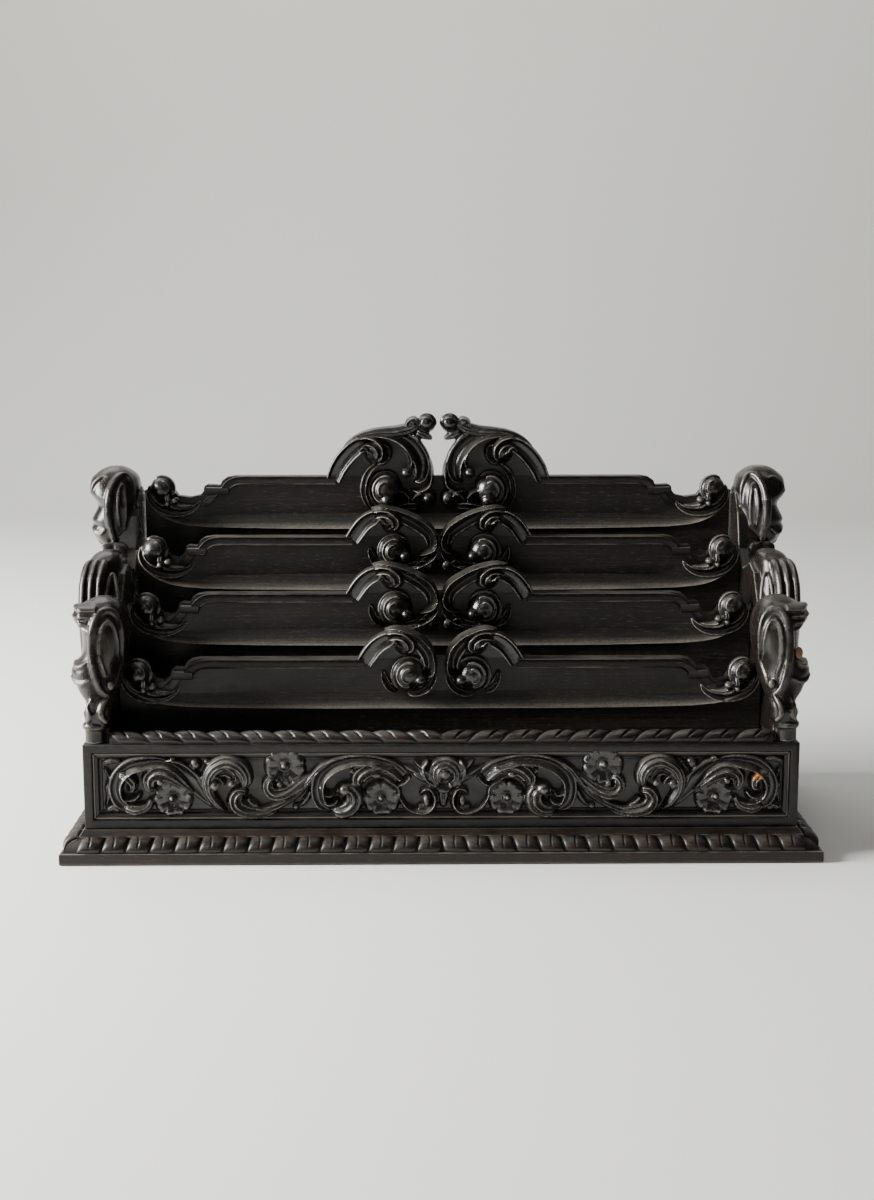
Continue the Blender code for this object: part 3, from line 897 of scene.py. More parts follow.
def beads(where, lay, turn_side, depth=0.0065):
    """The four mitred beads round a sunk panel: a worn fillet, an ovolo and a quirk at the ground."""
    names = [f"{where}_bead_{end}" for end in ("bottom", "right", "top", "left")]
    boxes = [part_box(name) for name in names]
    low = Vector([min(b[0][k] for b in boxes) for k in range(3)])
    high = Vector([max(b[1][k] for b in boxes) for k in range(3)])
    width = (high.x - low.x) if turn_side == 0 else (high.y - low.y)
    height = high.z - low.z
    ovolo = [
        (0.0012 + 0.0021 * math.sin(a), -0.0018 - 0.0021 * (1 - math.cos(a)), -0.1)
        for a in np.linspace(0, math.pi / 2, 5)
    ]
    # Hollow marks: painted shade at the foot and in the quirk, rubbed arrises with a painted highlight on the
    # fillet
    section = [
        (0.0, -depth + GAP, 0.3), (0.0, -0.0016, 0.6), (0.0002, -0.0011, -0.7), (0.0009, -0.0011, -0.7),
    ]
    section += [(0.0011, -0.0018, 0.8), *ovolo, (0.0036, -0.0041, 0.9), (0.0045, -0.0042, -0.6)]
    section += [(0.0045, -depth + GAP, 0.9)]
    for turn, name in enumerate(names):
        length = width if turn % 2 == 0 else height
        mesh = strip(name, section, length, 1, seed=turn * 5.0)
        mesh.transform(lay @ frame_lay(turn, width, height))
        finish = SIDE_MOULDING if turn_side else MOULDING
        piece(name + "_moulded", mesh, finish, "ebony_mouldings", name)


def panel_beads():
    """The beads of the front panel and of the two side panels."""
    low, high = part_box("box_front")
    beads("front", Matrix.Translation((0, low.y, (low.z + high.z) / 2)) @ FRONT_FACE.to_4x4(), 0)
    for side, word in SIDES:
        low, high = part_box("box_side_" + word)
        turn = Matrix.Rotation(side * math.pi / 2, 4, "Z") @ FRONT_FACE.to_4x4()
        face = (high.x if side > 0 else low.x, (low.y + high.y) / 2, (low.z + high.z) / 2)
        beads(word, Matrix.Translation(face) @ turn, side)


# ---------------------------------------------------------------- the carved panels


def end_scroll(carving):
    """The panel's outer end: a tall C with hooks in its mouth, a fluted roll and a flower."""
    leaf = flutes(3)
    carving.stroke(
        [
            (-152, 12.4), (-160, 14.2), (-168, 13.6), (-176, 11.4), (-182, 6.0), (-184.3, -1.2),
            (-182, -9), (-175, -14),
        ],
        [3, 5, 6.5, 7, 7, 6.5, 6, 4], [5, 7, 8.2, 8.6, 8.6, 8.4, 8, 6], LIP,
    )
    carving.stroke(
        [(-183, 7), (-178.4, 6), (-174.5, 2.6), (-174.6, -1.2), (-178, -1.6)], [3, 5, 5, 4, 2.5],
        [6, 8, 8.4, 8, 6], flutes(2),
    )
    carving.stroke(
        [(-183, -4), (-178.8, -7.4), (-173, -7), (-169.6, -3.4)], [3, 3.6, 3.4, 1.6], [5, 7, 7.6, 6],
        RIDGE,
    )
    carving.stroke(
        [(-180, -12), (-173, -13.6), (-166.6, -11.6), (-163.6, -6.5)], [5, 6.5, 5, 2], [5, 7, 6.6, 5],
        leaf,
    )
    carving.stroke(
        [
            (-139.5, -5.4), (-146, 0.8), (-152.4, 6.2), (-159, 8.4), (-164.4, 5.2), (-164.6, -0.4),
            (-161.6, -2.4),
        ],
        [2, 4.5, 7, 9, 9, 7, 4], [4, 5.5, 7.5, 8.8, 9, 8.4, 6.5], leaf,
    )
    carving.ball((-158.6, 3.2), 2.2, 3.0, 5.4)
    carving.stroke(
        [(-158, 12.6), (-149, 9.4), (-140, 1.6), (-131, -8.4), (-122.6, -14.6)], [6, 9, 9, 6, 3],
        [5, 4.6, 4, 3.6, 3], LIP,
    )
    carving.stroke([(-150.6, 12.8), (-152.6, 15.4), (-149.4, 15.8)], [2.4, 2.4, 1.6], [4.4, 5, 4], ROUND)
    carving.flower((-152, -7.2), 9.8, 5.2, turn=-12)
    carving.ball((-139, 12.6), (3.6, 3.9), 4.6)
    carving.ball((-132.4, 13.6), (2.6, 2.2), 3.2)
    carving.stroke(
        [(-139.4, 8.8), (-137.4, 2.6), (-133.8, -4.6), (-129, -11)], [2.2, 2.2, 2.0, 1.4],
        [4, 3.6, 3.4, 2.6], RIDGE,
    )


def corner_leaves(carving):
    """Ragged leaf slips down the end of the panel, and a folded one in its corner."""
    carving.stroke([(-190.6, 13), (-186.4, 14.6), (-180.6, 14.4)], [2.6, 3, 1.4], [4, 4.4, 3], flutes(2))
    carving.stroke(
        [(-190.6, 11), (-187.6, 5), (-189.4, -1), (-188.4, -7), (-190.4, -13)], [2, 2.6, 1.8, 2.8, 2],
        [3.4, 4, 3, 4, 2.6], RIDGE,
    )
    carving.stroke([(-190, -14.6), (-185.6, -12.8), (-182.6, -15.6)], [2, 3.4, 2], [3, 4, 3], flutes(2))


def great_scroll(carving):
    """The second C with its crowned head, the fluted bulb under it and the flower on its curl."""
    leaf = flutes(3)
    carving.stroke(
        [(-121.6, -15.6), (-127.6, -10), (-131.6, -3), (-132, 4.4), (-128.4, 10.4), (-121.6, 13.6),
         (-114.6, 11.4),
         (-111, 5.6), (-111.8, 0.4), (-115, -1.8)],
        [2.4, 4.5, 5.5, 6, 7, 8, 8.6, 8, 6.4, 4], [5, 6.5, 7.6, 8.2, 8.8, 9, 9, 8.8, 8, 6.4],
        flutes(4, 0.3),
    )
    carving.stroke(
        [(-128.6, 6.6), (-122.6, 8.6), (-118.2, 6.2), (-117.8, 2.4)], [4, 5, 4.4, 2.4], [6, 8, 8.2, 7],
        LIP,
    )
    carving.ball((-118.5, 1.7), 1.9, 2.6, 5.8)
    carving.ball((-128.4, 0.8), 3.1, 3.6, 4.6)
    carving.stroke(
        [(-129.8, 4.6), (-126, 5.2), (-123.4, 2.4), (-124, -0.2)], [2.4, 3, 2.4, 1.4], [6, 7.4, 7, 6],
        RIDGE,
    )
    carving.stroke(
        [
            (-92, -13.8), (-100, -15.4), (-108, -15), (-114.4, -12.2), (-116.4, -7.4), (-113.6, -3.8),
            (-109.4, -4.6),
        ],
        [3, 5, 7, 8.4, 8.6, 7, 4], [3.6, 5.6, 7.4, 8.6, 9, 8.6, 7], leaf,
    )
    carving.stroke([(-109.8, -6.4), (-107.4, -9.6), (-103.4, -11.8)], [2.4, 3, 2], [7, 6.6, 4.4], ROUND)
    carving.stroke([(-118, -6), (-120.4, -9.6), (-118.6, -12.8)], [2, 3, 2], [5, 6, 4.6], RIDGE)
    for shift in (0.0, 2.1):
        carving.stroke(
            [(-104, -12.6 - shift), (-95.8, -11.8 - shift), (-87, -7.4 - shift), (-79.6, -1.6 - shift),
             (-70, 10.2 - shift),
             (-62, 14.6 - shift)],
            [2, 2.4, 2.4, 2.4, 2.4, 2], [5, 5.4, 5.6, 5.6, 6, 5.4], RIDGE,
        )
    carving.flower((-88.6, 11.4), 10.4, 5.0, turn=38)
    carving.stroke(
        [(-72.6, 7.8), (-80.6, 1.4), (-88, -3.4), (-94.6, -4.2), (-98, -0.2), (-96.4, 4), (-92.6, 3.6)],
        [2, 4, 5.6, 7.4, 7.6, 6, 3.4], [4, 5.4, 7, 8.6, 9, 8.4, 7], leaf,
    )
    carving.ball((-91.6, 1.4), 1.7, 2.2, 5.4)
    carving.ball((-82.7, -12.4), 2.1, 2.6, 1.6)
    carving.stroke(
        [(-81, -12.2), (-78, -9.8), (-74.8, -4), (-73.6, 2)], [1.6, 3, 2.6, 1.4], [3, 4.2, 4, 3], ROUND,
    )


def inner_scroll(carving):
    """The long C that folds over like a strap, its bulb and curls, and the flower under it."""
    leaf = flutes(3)
    carving.stroke(
        [(-62.6, -15.4), (-68.4, -10.2), (-70.4, -3.4), (-69.2, 3.8), (-64.8, 9.2), (-58.6, 12.8),
         (-51, 14.8),
         (-42, 15.0), (-33.6, 13.2), (-26, 9.6), (-20.6, 4.4)],
        [4, 6, 6.6, 6.6, 6.4, 5.8, 5.2, 5, 5.4, 6, 6.4], [6, 8, 8.6, 8.8, 8.8, 8.4, 8, 7.6, 7.4, 7, 6],
        LIP_RIGHT,
        ends=(0.1, 0.02),
    )
    carving.stroke([(-17.6, 5.4), (-21, 1.6), (-25.2, -0.6)], [2, 2, 1.8], [6.4, 6.4, 5.6], RIDGE)
    carving.stroke([(-36.6, 8.6), (-29.8, 6.6), (-24.6, 2.2)], [5, 6, 4.6], [5, 4.6, 4.2], STRAP)
    carving.stroke(
        [
            (-63, -14.6), (-55.6, -14.6), (-50.6, -10.8), (-50, -5.2), (-53.4, -1.6), (-57.4, -2.8),
            (-57.6, -6.4),
        ],
        [4, 8, 9.4, 9.6, 8.6, 6, 3], [5, 7.6, 8.8, 9.2, 9, 8, 6], flutes(3, 0.3),
    )
    carving.ball((-54.8, -1.8), 3.3, 3.4, 6.0)
    carving.stroke(
        [(-69.6, 1), (-67.2, -4), (-63, -5.6), (-60.4, -2.8)], [2.6, 4, 3.6, 2], [5, 7.4, 7.6, 6],
        RIDGE,
    )
    carving.stroke(
        [(-69, -6), (-65.4, -10.4), (-61, -10.2), (-58.6, -7.2)], [2.6, 4.4, 4, 2], [5, 7, 7.4, 6],
        RIDGE,
    )
    carving.stroke(
        [(-51.8, 8.2), (-48.4, 11), (-41.6, 12.6), (-34, 12.4)], [2, 3, 2.8, 1.6], [4, 5.6, 5.6, 4],
        RIDGE,
    )
    carving.ball((-50.4, 8.6), 1.9, 2.4, 3.4)
    carving.stroke(
        [(-25.6, 10.2), (-31.6, 9.8), (-38.6, 10.2), (-44.4, 7.6), (-47.2, 3.4), (-45.4, -0.6)],
        [2.4, 4.4, 6.8, 8.6, 8.4, 5], [4.4, 5.6, 7.4, 8.8, 8.8, 7], leaf,
    )
    carving.ball((-37.4, 6.6), (3.0, 2.2), 2.6, 4.6)
    carving.flower((-34.2, -7.6), 9.4, 4.8, turn=56)
    carving.stroke(
        [(-34, 4.6), (-28, 1.6), (-24.6, -1.6), (-23.8, -7), (-20, -12.8), (-14.6, -15.4),
         (-8.6, -15.4), (-4.8, -12),
         (-4.0, -7), (-6.6, -2.2), (-10.6, -2.8), (-12.6, -7)],
        [1.8, 2.0, 2.2, 2.2, 2.6, 3.4, 3.8, 3.6, 3.2, 3.0, 2.6, 1.8],
        [5, 5.4, 5.4, 5.2, 5.8, 6.6, 7.4, 7.6, 7.4, 7, 6, 5], RIDGE,
    )
    carving.ball((-9.0, -8.6), (2.1, 3.5), 3.4, 3.0)
    carving.stroke([(-14, -12.6), (-10, -12.8), (-7, -11)], [3.4, 3.2, 2], [4.4, 4.6, 3.6], flutes(2))


def centre_palmette(carving, axis):
    """Three-pointed acanthus each side of the middle."""
    for tip, width in (((-16.4, 14.6), 4.4), ((-21.6, 11.4), 3.8), ((-17.2, 6.8), 3.6)):
        root = (-2.6 + axis, -0.8)
        bend = (root[0] * 0.45 + tip[0] * 0.55 + 1.6, root[1] * 0.4 + tip[1] * 0.6 - 1.0)
        carving.stroke([root, bend, tip], [2, width, width * 0.55], [4.4, 5.6, 5.2], RIDGE, ends=(0.1, 0.3))
    carving.stroke(
        [(-7.4, 15), (-10.6, 9.6), (-8.4, 3), (-2, -1.6)], [2.2, 2.8, 2.6, 2], [6, 6.4, 6, 5], ROUND,
    )


def rosette(carving, centre, size=1.0):
    """A ringed shell boss with a dark mouth."""
    for radius, width, height in ((9.6, 2.6, 5.4), (7.2, 2.4, 6.4), (5.0, 2.2, 7.6)):
        path = spiral(centre, (radius * size, radius * size * 0.94), (-62, 248), 15)
        carving.stroke(path, width * size, height * size, ROUND, ends=(0.1, 0.1))
    carving.ball(centre, 7.6 * size, 4.6 * size)
    carving.ball((centre[0] - 0.6, centre[1] + 1.2), 4.3 * size, 4.2 * size, 4.4 * size)
    carving.ball((centre[0] + 2.6, centre[1] - 5.4), (1.6 * size, 2.2 * size), 2.4 * size, 4.4 * size)


def front_panel():
    """The running scroll on the box front, left half drawn, right half mirrored."""
    low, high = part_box("front_carving")
    axis = 1.2
    carving = Carving()
    width, height = (high.x - low.x) / MM, (high.z - low.z) / MM
    half_w, half_h = width / 2, height / 2
    carving.swell = 1.24
    corner_leaves(carving)
    end_scroll(carving)
    great_scroll(carving)
    inner_scroll(carving)
    centre_palmette(carving, axis)
    carving.mirror(axis)
    rosette(carving, (axis + 1.0, 6.2))
    carving.stroke(
        [(axis - 4.6, -2.6), (axis, -3.4), (axis + 4.6, -2.6)], [3, 4, 3], [3.6, 4.4, 3.6], ROUND,
    )
    carving.stroke(
        [(axis, -2), (axis - 0.4, -8), (axis - 0.6, -13.4)], [8, 5.6, 2.4], [3.6, 4.2, 2.4], flutes(2),
    )
    carving.slab([(-half_w, -half_h), (half_w, -half_h), (half_w, half_h), (-half_w, half_h)], -1.5, 0.0)
    mesh = carving.fused("front_panel_carving", 0.42, cut=-1.0, ground=0.0)
    bare_patch(mesh, (177.0, 5.2, 7.4), (3.6, 2.6, 3.0))
    ground = high.y - 0.0015
    laid(mesh, FRONT_FACE, (0, ground, (low.z + high.z) / 2))
    piece("front_panel_carving", mesh, FRIEZE, "ebony_carving", "front_carving")


def side_panels():
    """A rosette between two scroll and flower groups on each side of the box."""
    for side, word in SIDES:
        low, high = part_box(word + "_carving")
        half_w, half_h = (high.y - low.y) / 2 / MM, (high.z - low.z) / 2 / MM
        carving = Carving()
        inward = 192.5 - half_w
        carving.start = np.array([inward, 0.0, 0.0])
        end_scroll(carving)
        corner_leaves(carving)
        carving.start = np.zeros(3)
        carving.mirror(0.0)
        rosette(carving, (0.0, 3.2), 0.95)
        carving.stroke([(-5, -7), (0, -8), (5, -7)], [3, 4, 3], [3.6, 4.4, 3.6], ROUND)
        carving.slab(
            [(-half_w, -half_h), (half_w, -half_h), (half_w, half_h), (-half_w, half_h)], -1.5, 0.0,
        )
        mesh = carving.fused(word + "_panel_carving", 0.48, limit=120000, cut=-1.0, ground=0.0)
        turn = Matrix.Rotation(side * math.pi / 2, 3, "Z") @ FRONT_FACE
        face_x = low.x + 0.0015 if side > 0 else high.x - 0.0015
        laid(mesh, turn, (face_x, (low.y + high.y) / 2, (low.z + high.z) / 2))
        piece(word + "_panel_carving", mesh, SIDE_FRIEZE, "ebony_carving", word + "_carving")


# ---------------------------------------------------------------- dividers


TIERS = {
    # the board's top in metres, then in mm the crest's half width, the end of the level moulding,
    # the outer edge of the tab and the drop to the field's lower arris
    "divider_front": dict(top=0.1070, scroll=48.6, run=149.2, tab=156.7, field=28.8),
    "divider_second": dict(top=0.1392, scroll=56.6, run=149.6, tab=156.7, field=31.3),
    "divider_third": dict(top=0.1685, scroll=57.8, run=149.2, tab=156.9, field=33.1),
    "divider_back": dict(top=0.2022, scroll=69.6, run=138.6, tab=149.2, field=33.4),
}
BOARD_THICKNESS = 11.0
BOARD_FOOT = 25.9  # height of the dividers' lower edge above the table
FIELD = -3.0  # the dished field lies this far below the moulding's face
ON_FIELD = dict(base=FIELD, foot=FIELD - 2)
CARVED_BACK = -9.2  # crests and end scrolls are cut off flat here, inside the board
END_X = 187.0
BALL_AT = (175.6, -8.2)


def small_crest(carving, out, hook):
    """Right half of a lower crest: a strap turned up into an arch, a roll, the big C and its volute."""
    silhouette = [
        (3.6, -8), (2.6, 0), (5.2, 6.8), (11 + out * 0.4, 12.4), (20 + out * 0.8, 15.6),
        (31 + out, 14.8),
    ]
    silhouette += [
        (39 + out, 11.2), (46.4 + out, 1.6), (44 + out, -3), (38 + out, -9), (26 + out, -18), (14, -18),
    ]
    carving.slab(silhouette, -9.5, FIELD - 0.3)
    carving.stroke(
        [(44.6 + out, -2.4), (41.4 + out, 2.8), (37.6 + out, 7.7), (33 + out, 11.2), (28 + out, 13)],
        [9.6, 10, 10, 9.6, 8.4], [3.6, 4.8, 6.2, 7.4, 8], STRAP, ends=(0.0, 0.14), **ON_FIELD,
    )
    carving.dome((20.8 + out, 9.8), (6.6, 7.4), 8.6, (), FIELD)
    for way in (
        [
            (33 + out, 15.4), (27 + out, 17.2), (20.6 + out, 16.4), (15.6 + out, 12), (15.4 + out, 6.6),
            (19.4 + out, 3.2),
        ],
        [
            (31 + out, 11.8), (26.6 + out, 13.8), (21.8 + out, 13.2), (18.6 + out, 10),
            (18.4 + out, 6.6), (20.8 + out, 4.8),
        ],
        [(28 + out, 9.6), (25 + out, 10.8), (22.4 + out, 9.6), (21.6 + out, 7.2)],
    ):
        carving.stroke(way, [1.8, 3.4, 3.8, 3.6, 2.2], [7.6, 9.6, 10.8, 10.4, 8.6], STEP, **ON_FIELD)
    carving.stroke(
        [(29.4 + out, 8.4), (27.6 + out, 11), (25 + out, 10.4), (24.4 + out, 7.6)],
        [1.4, 2.6, 2.6, 1.4], [9, 11.4, 12, 10.4], RIDGE, **ON_FIELD
    )
    inner = [
        (32 + out, 15.0), (25.6 + out * 0.95, 15.4), (18 + out * 0.7, 12.8), (12 + out * 0.35, 8.2),
        (8.0 - out * 0.08, 2.2),
    ]
    inner += [(7.0 - out * 0.2, -3.6), (8.4 - out * 0.15, -8)]
    carving.stroke(
        inner, [3, 5.4, 7.4, 8.4, 8.2, 7.4, 5], [5, 6.4, 7.4, 8.4, 9, 9, 8.4], LIP_RIGHT, **ON_FIELD,
    )
    rim = [
        (33 + out, 17.6), (25.6 + out * 0.95, 18.4), (17.4 + out * 0.72, 16.2),
        (10.8 + out * 0.4, 12.4), (5.8, 6.6),
    ]
    rim += [
        (4.0 - out * 0.2, 0.2), (3.7 - out * 0.22, -5.0), (5.6 - out * 0.1, -8.8),
        (9.8 + out * 0.4, -10.6 - out * 0.16),
    ]
    carving.stroke(
        rim, [1.6, 2.2, 2.4, 2.6, 2.8, 3, 3, 3.2, 2.2],
        [6, 8.6, 10, 10.8, 11.4, 11.6, 11.6, 11.4, 10.4], RIDGE, **ON_FIELD,
    )
    carving.dome(
        (18.6 + out, -9.2), (10.2, 10.6), 11.6,
        [(0.96, 0.90, 150, -60), (0.72, 0.50, 120, -100), (0.40, 0.25, 110, -110)], FIELD - 0.6, 2.8, 0.9,
    )
    carving.ball((11.8 + out, -11.6), (3.6, 3.5), 4.4, 4.2)
    carving.stroke(
        [
            (20 + out, -19.4), (13.4 + out * 0.8, -18.8), (8.2 + out * 0.3, -15.8),
            (5.0 - out * 0.1, -11.2), (3.8 - out * 0.2, -6),
        ],
        [3, 4.6, 5.2, 4.6, 3], [6, 8.4, 9.6, 10.4, 11], LIP, **ON_FIELD,
    )
    carving.stroke(
        [(25 + out, -19.2), (29.4 + out, -16.4), (32.4 + out, -11.8), (33.8 + out, -6.4)],
        [2.4, 4.4, 4.2, 1.8], [5, 7, 7.6, 6], LIP_RIGHT, **ON_FIELD,
    )
    carving.stroke(
        [(30.6 + out, -14.6), (33.4 + out, -12.6), (34.8 + out, -9.6)], [1.8, 2.6, 1.4], [6, 6.6, 5.6],
        RIDGE, **ON_FIELD,
    )
    if hook:
        carving.stroke(
            [(28, -20.2), (20, -20.4), (12.6, -19.4), (7.4, -20)], [3, 3.8, 4, 3], [6, 8, 9, 9],
            LIP_RIGHT, **ON_FIELD,
        )
        carving.dome(
            (5.2, -17.2), (4.4, 4.3), 9.6, [(0.95, 0.9, 100, 300), (0.5, 0.5, 90, 260)], FIELD, 1.8,
            1.0,
        )
        carving.stroke(
            [(14.4, -17.4), (11.4, -14.6), (8.4, -14.6), (7.8, -17)], [1.6, 2.4, 2.4, 1.6],
            [8, 9.4, 10, 9], RIDGE, **ON_FIELD,
        )


def great_crest(carving):
    """Right half of the back divider's crest, with the curled finial on its shoulder."""
    silhouette = [(4.0, -12), (3.2, 2), (4.4, 9), (7.4, 15), (11.6, 21.2), (17, 27), (25, 29.4), (36, 29.4)]
    silhouette += [(46, 26.2), (55, 21.6), (63, 14.2), (68.6, 3), (66, -4), (58, -12), (46, -20), (14, -16)]
    carving.slab(silhouette, -9.5, FIELD - 0.3)
    carving.stroke(
        [(67, -3), (63.6, 5.2), (58, 13), (51.4, 18.8), (45, 21)],
        [9.4, 10.6, 11.2, 10.8, 9], [3.6, 5, 6.4, 7.8, 8.6], STRAP, ends=(0.0, 0.12), **ON_FIELD,
    )
    carving.dome((40.4, 15.4), (7.0, 7.8), 9.4, (), FIELD)
    for way in (
        [(52, 23.4), (46, 25.4), (39.4, 23.8), (34.6, 18.8), (34.6, 12.4), (38.6, 8.4)],
        [(49.4, 19.4), (45, 21), (40.4, 19.8), (37.6, 16), (38, 12.2), (40.6, 10.4)],
        [(47, 16.4), (43.6, 17.2), (41.4, 15.4), (41.4, 12.8)],
    ):
        carving.stroke(way, [1.8, 3.6, 4.2, 4, 2.4], [7.6, 10, 11.6, 11.2, 9.4], STEP, **ON_FIELD)
    carving.stroke(
        [(50.4, 15.6), (48, 18.6), (45, 17.6), (44.4, 14)], [1.6, 3.2, 3, 1.6], [9, 12, 12.6, 11],
        RIDGE, **ON_FIELD,
    )
    carving.stroke(
        [(37, 21.4), (31.4, 18.6), (31, 12.6), (34.6, 8.6), (38.8, 8.2)], [2, 2.4, 2.4, 2.4, 1.8],
        [7, 7, 6.6, 6, 5], RIDGE, **ON_FIELD,
    )
    carving.stroke(
        [(50, 27), (38, 27.6), (28, 26.6), (19.4, 22.6), (13, 15.4), (10, 7.4), (11.2, -0.6), (16, -3.6)],
        [3, 5, 7.4, 9.8, 11.6, 11.8, 9.8, 5], [5, 7, 8.6, 9.8, 10.6, 10.8, 10.4, 8.6], LIP, **ON_FIELD,
    )
    carving.stroke(
        [(31, 24.4), (24.6, 21), (19.4, 16), (17, 10), (17.8, 4.4)], [1.8, 2.2, 2.4, 2.4, 2.4],
        [8, 10, 11.4, 11.8, 11.6], RIDGE, **ON_FIELD
    )
    carving.ball((20.0, 2.6), (3.5, 3.4), 4.4, 4.6)
    carving.stroke(
        [(7.2, 14.6), (4.8, 7.4), (4.2, 0.2), (6, -6.4), (11.6, -9.6), (17.6, -8.6)],
        [2, 2.8, 3.2, 3.6, 3.4, 2], [6, 8, 9.4, 10, 9, 7], RIDGE, **ON_FIELD,
    )
    carving.stroke(
        [(36.4, 8.2), (42.6, 5), (46.8, -2), (47.6, -11), (44.4, -19), (40.4, -22)],
        [2, 3.4, 4, 4, 3.4, 2], [6, 8, 8.8, 8.6, 7, 5], LIP_RIGHT, **ON_FIELD,
    )
    carving.dome(
        (33.4, -8.8), (10.8, 11.6), 12.4,
        [(0.95, 0.95, 140, -120), (0.74, 0.62, 116, -80), (0.46, 0.32, 116, -60)], FIELD - 0.6, 3.0, 1.0,
    )
    carving.ball((32.0, -15.0), (4.6, 4.4), 4.6, 5.2)
    carving.stroke(
        [(40, -20.6), (30, -21), (19.6, -19), (11.4, -18.8)], [3, 4.4, 4.8, 4], [7, 9, 10, 9.6],
        LIP_RIGHT, **ON_FIELD,
    )
    carving.stroke(
        [(26.4, -9), (21.4, -10.4), (18.6, -14.4), (20.4, -18)], [3, 4.4, 4, 2.4], [8, 9, 9, 7], RIDGE,
        **ON_FIELD,
    )
    carving.dome(
        (6.6, -13.8), (5.1, 5.2), 10.6, [(0.95, 0.9, 100, 310), (0.5, 0.5, 90, 270)], FIELD, 2.0, 1.1,
    )
    carving.stroke(
        [(17.4, -15.8), (14, -11.6), (10.4, -11), (9.4, -13.6)], [1.8, 2.8, 2.6, 1.6],
        [9, 11, 11.4, 10], RIDGE, **ON_FIELD,
    )
    # The finial: stem off the shoulder, a small curl, a ball and two leaf tips hanging under it
    back = dict(foot=-8.0)
    carving.stroke(
        [(60, 19.2), (52, 24.6), (43, 27.4), (34, 28.2), (26, 28.6), (19, 30.2), (14, 33), (11.4, 36)],
        [1.6, 3, 4.4, 5.6, 6.6, 7.4, 7.6, 5.6], [2, 3, 3.6, 4, 4.2, 4.4, 4.6, 4.6], flutes(3, 0.35), **back,
    )
    carving.dome(
        (7.2, 33.6), (5.8, 6.0), 7.6, [(0.95, 0.92, -40, 200), (0.55, 0.5, -30, 190)], -1.4, 2.0, 1.1,
    )
    carving.ball((16.4, 34.6), (3.6, 3.2), 6.4, -1.6)
    carving.stroke(
        [(20.6, 31.4), (19, 35.4), (15, 36.8), (12.6, 34.4)], [1.6, 2.4, 2.4, 1.6], [5, 6.4, 6.6, 5.6],
        RIDGE, **back,
    )
    carving.stroke([(14, 28.6), (8.6, 26.2), (3.6, 23.6)], [4.4, 5.8, 2.2], [4, 4, 2.6], flutes(2), **back)
    carving.stroke([(16.4, 27), (13, 23.8), (11.0, 20.4)], [3.4, 3.8, 1.6], [4, 4, 2.6], RIDGE, **back)


def terminal(carving):
    """Right end of a divider: a ball held in a crescent with curls in its hollow."""
    bx, by = BALL_AT
    carving.dome(BALL_AT, (8.0, 8.3), 10.6, [(0.95, 0.85, 50, 250), (0.62, 0.3, 90, 240)], FIELD, 2.8, 0.8)
    carving.ball((bx, by), (7.2, 7.5), 4.0, -6.4)
    carving.stroke(
        [(bx - 24, by - 7.4), (bx - 20.6, by - 11.6), (bx - 14.0, by - 14.6), (bx - 5.6, by - 14.4),
         (bx + 3.2, by - 10.8),
         (bx + 8.0, by - 4.6), (bx + 8.6, by + 2.6)],
        [2, 4, 5.8, 7.2, 6.6, 5.0, 2.4], [2.4, 4, 5.6, 7.2, 8, 7.6, 5.4], LIP, **ON_FIELD,
    )
    carving.stroke(
        [
            (bx - 20, by - 10.4), (bx - 14, by - 11.4), (bx - 7.6, by - 10.4), (bx - 3.6, by - 6.4),
            (bx - 4.4, by - 1),
        ],
        [2.4, 4.0, 5.2, 5.2, 3.4], [3.4, 5.6, 8.6, 10.4, 10.8], flutes(2, 0.25), **ON_FIELD,
    )
    carving.ball((bx - 8.6, by - 6.6), (2.6, 2.3), 3.0, 4.6)
    carving.ball((bx - 3.6, by - 8.6), (2.0, 1.9), 2.8, 4.8)


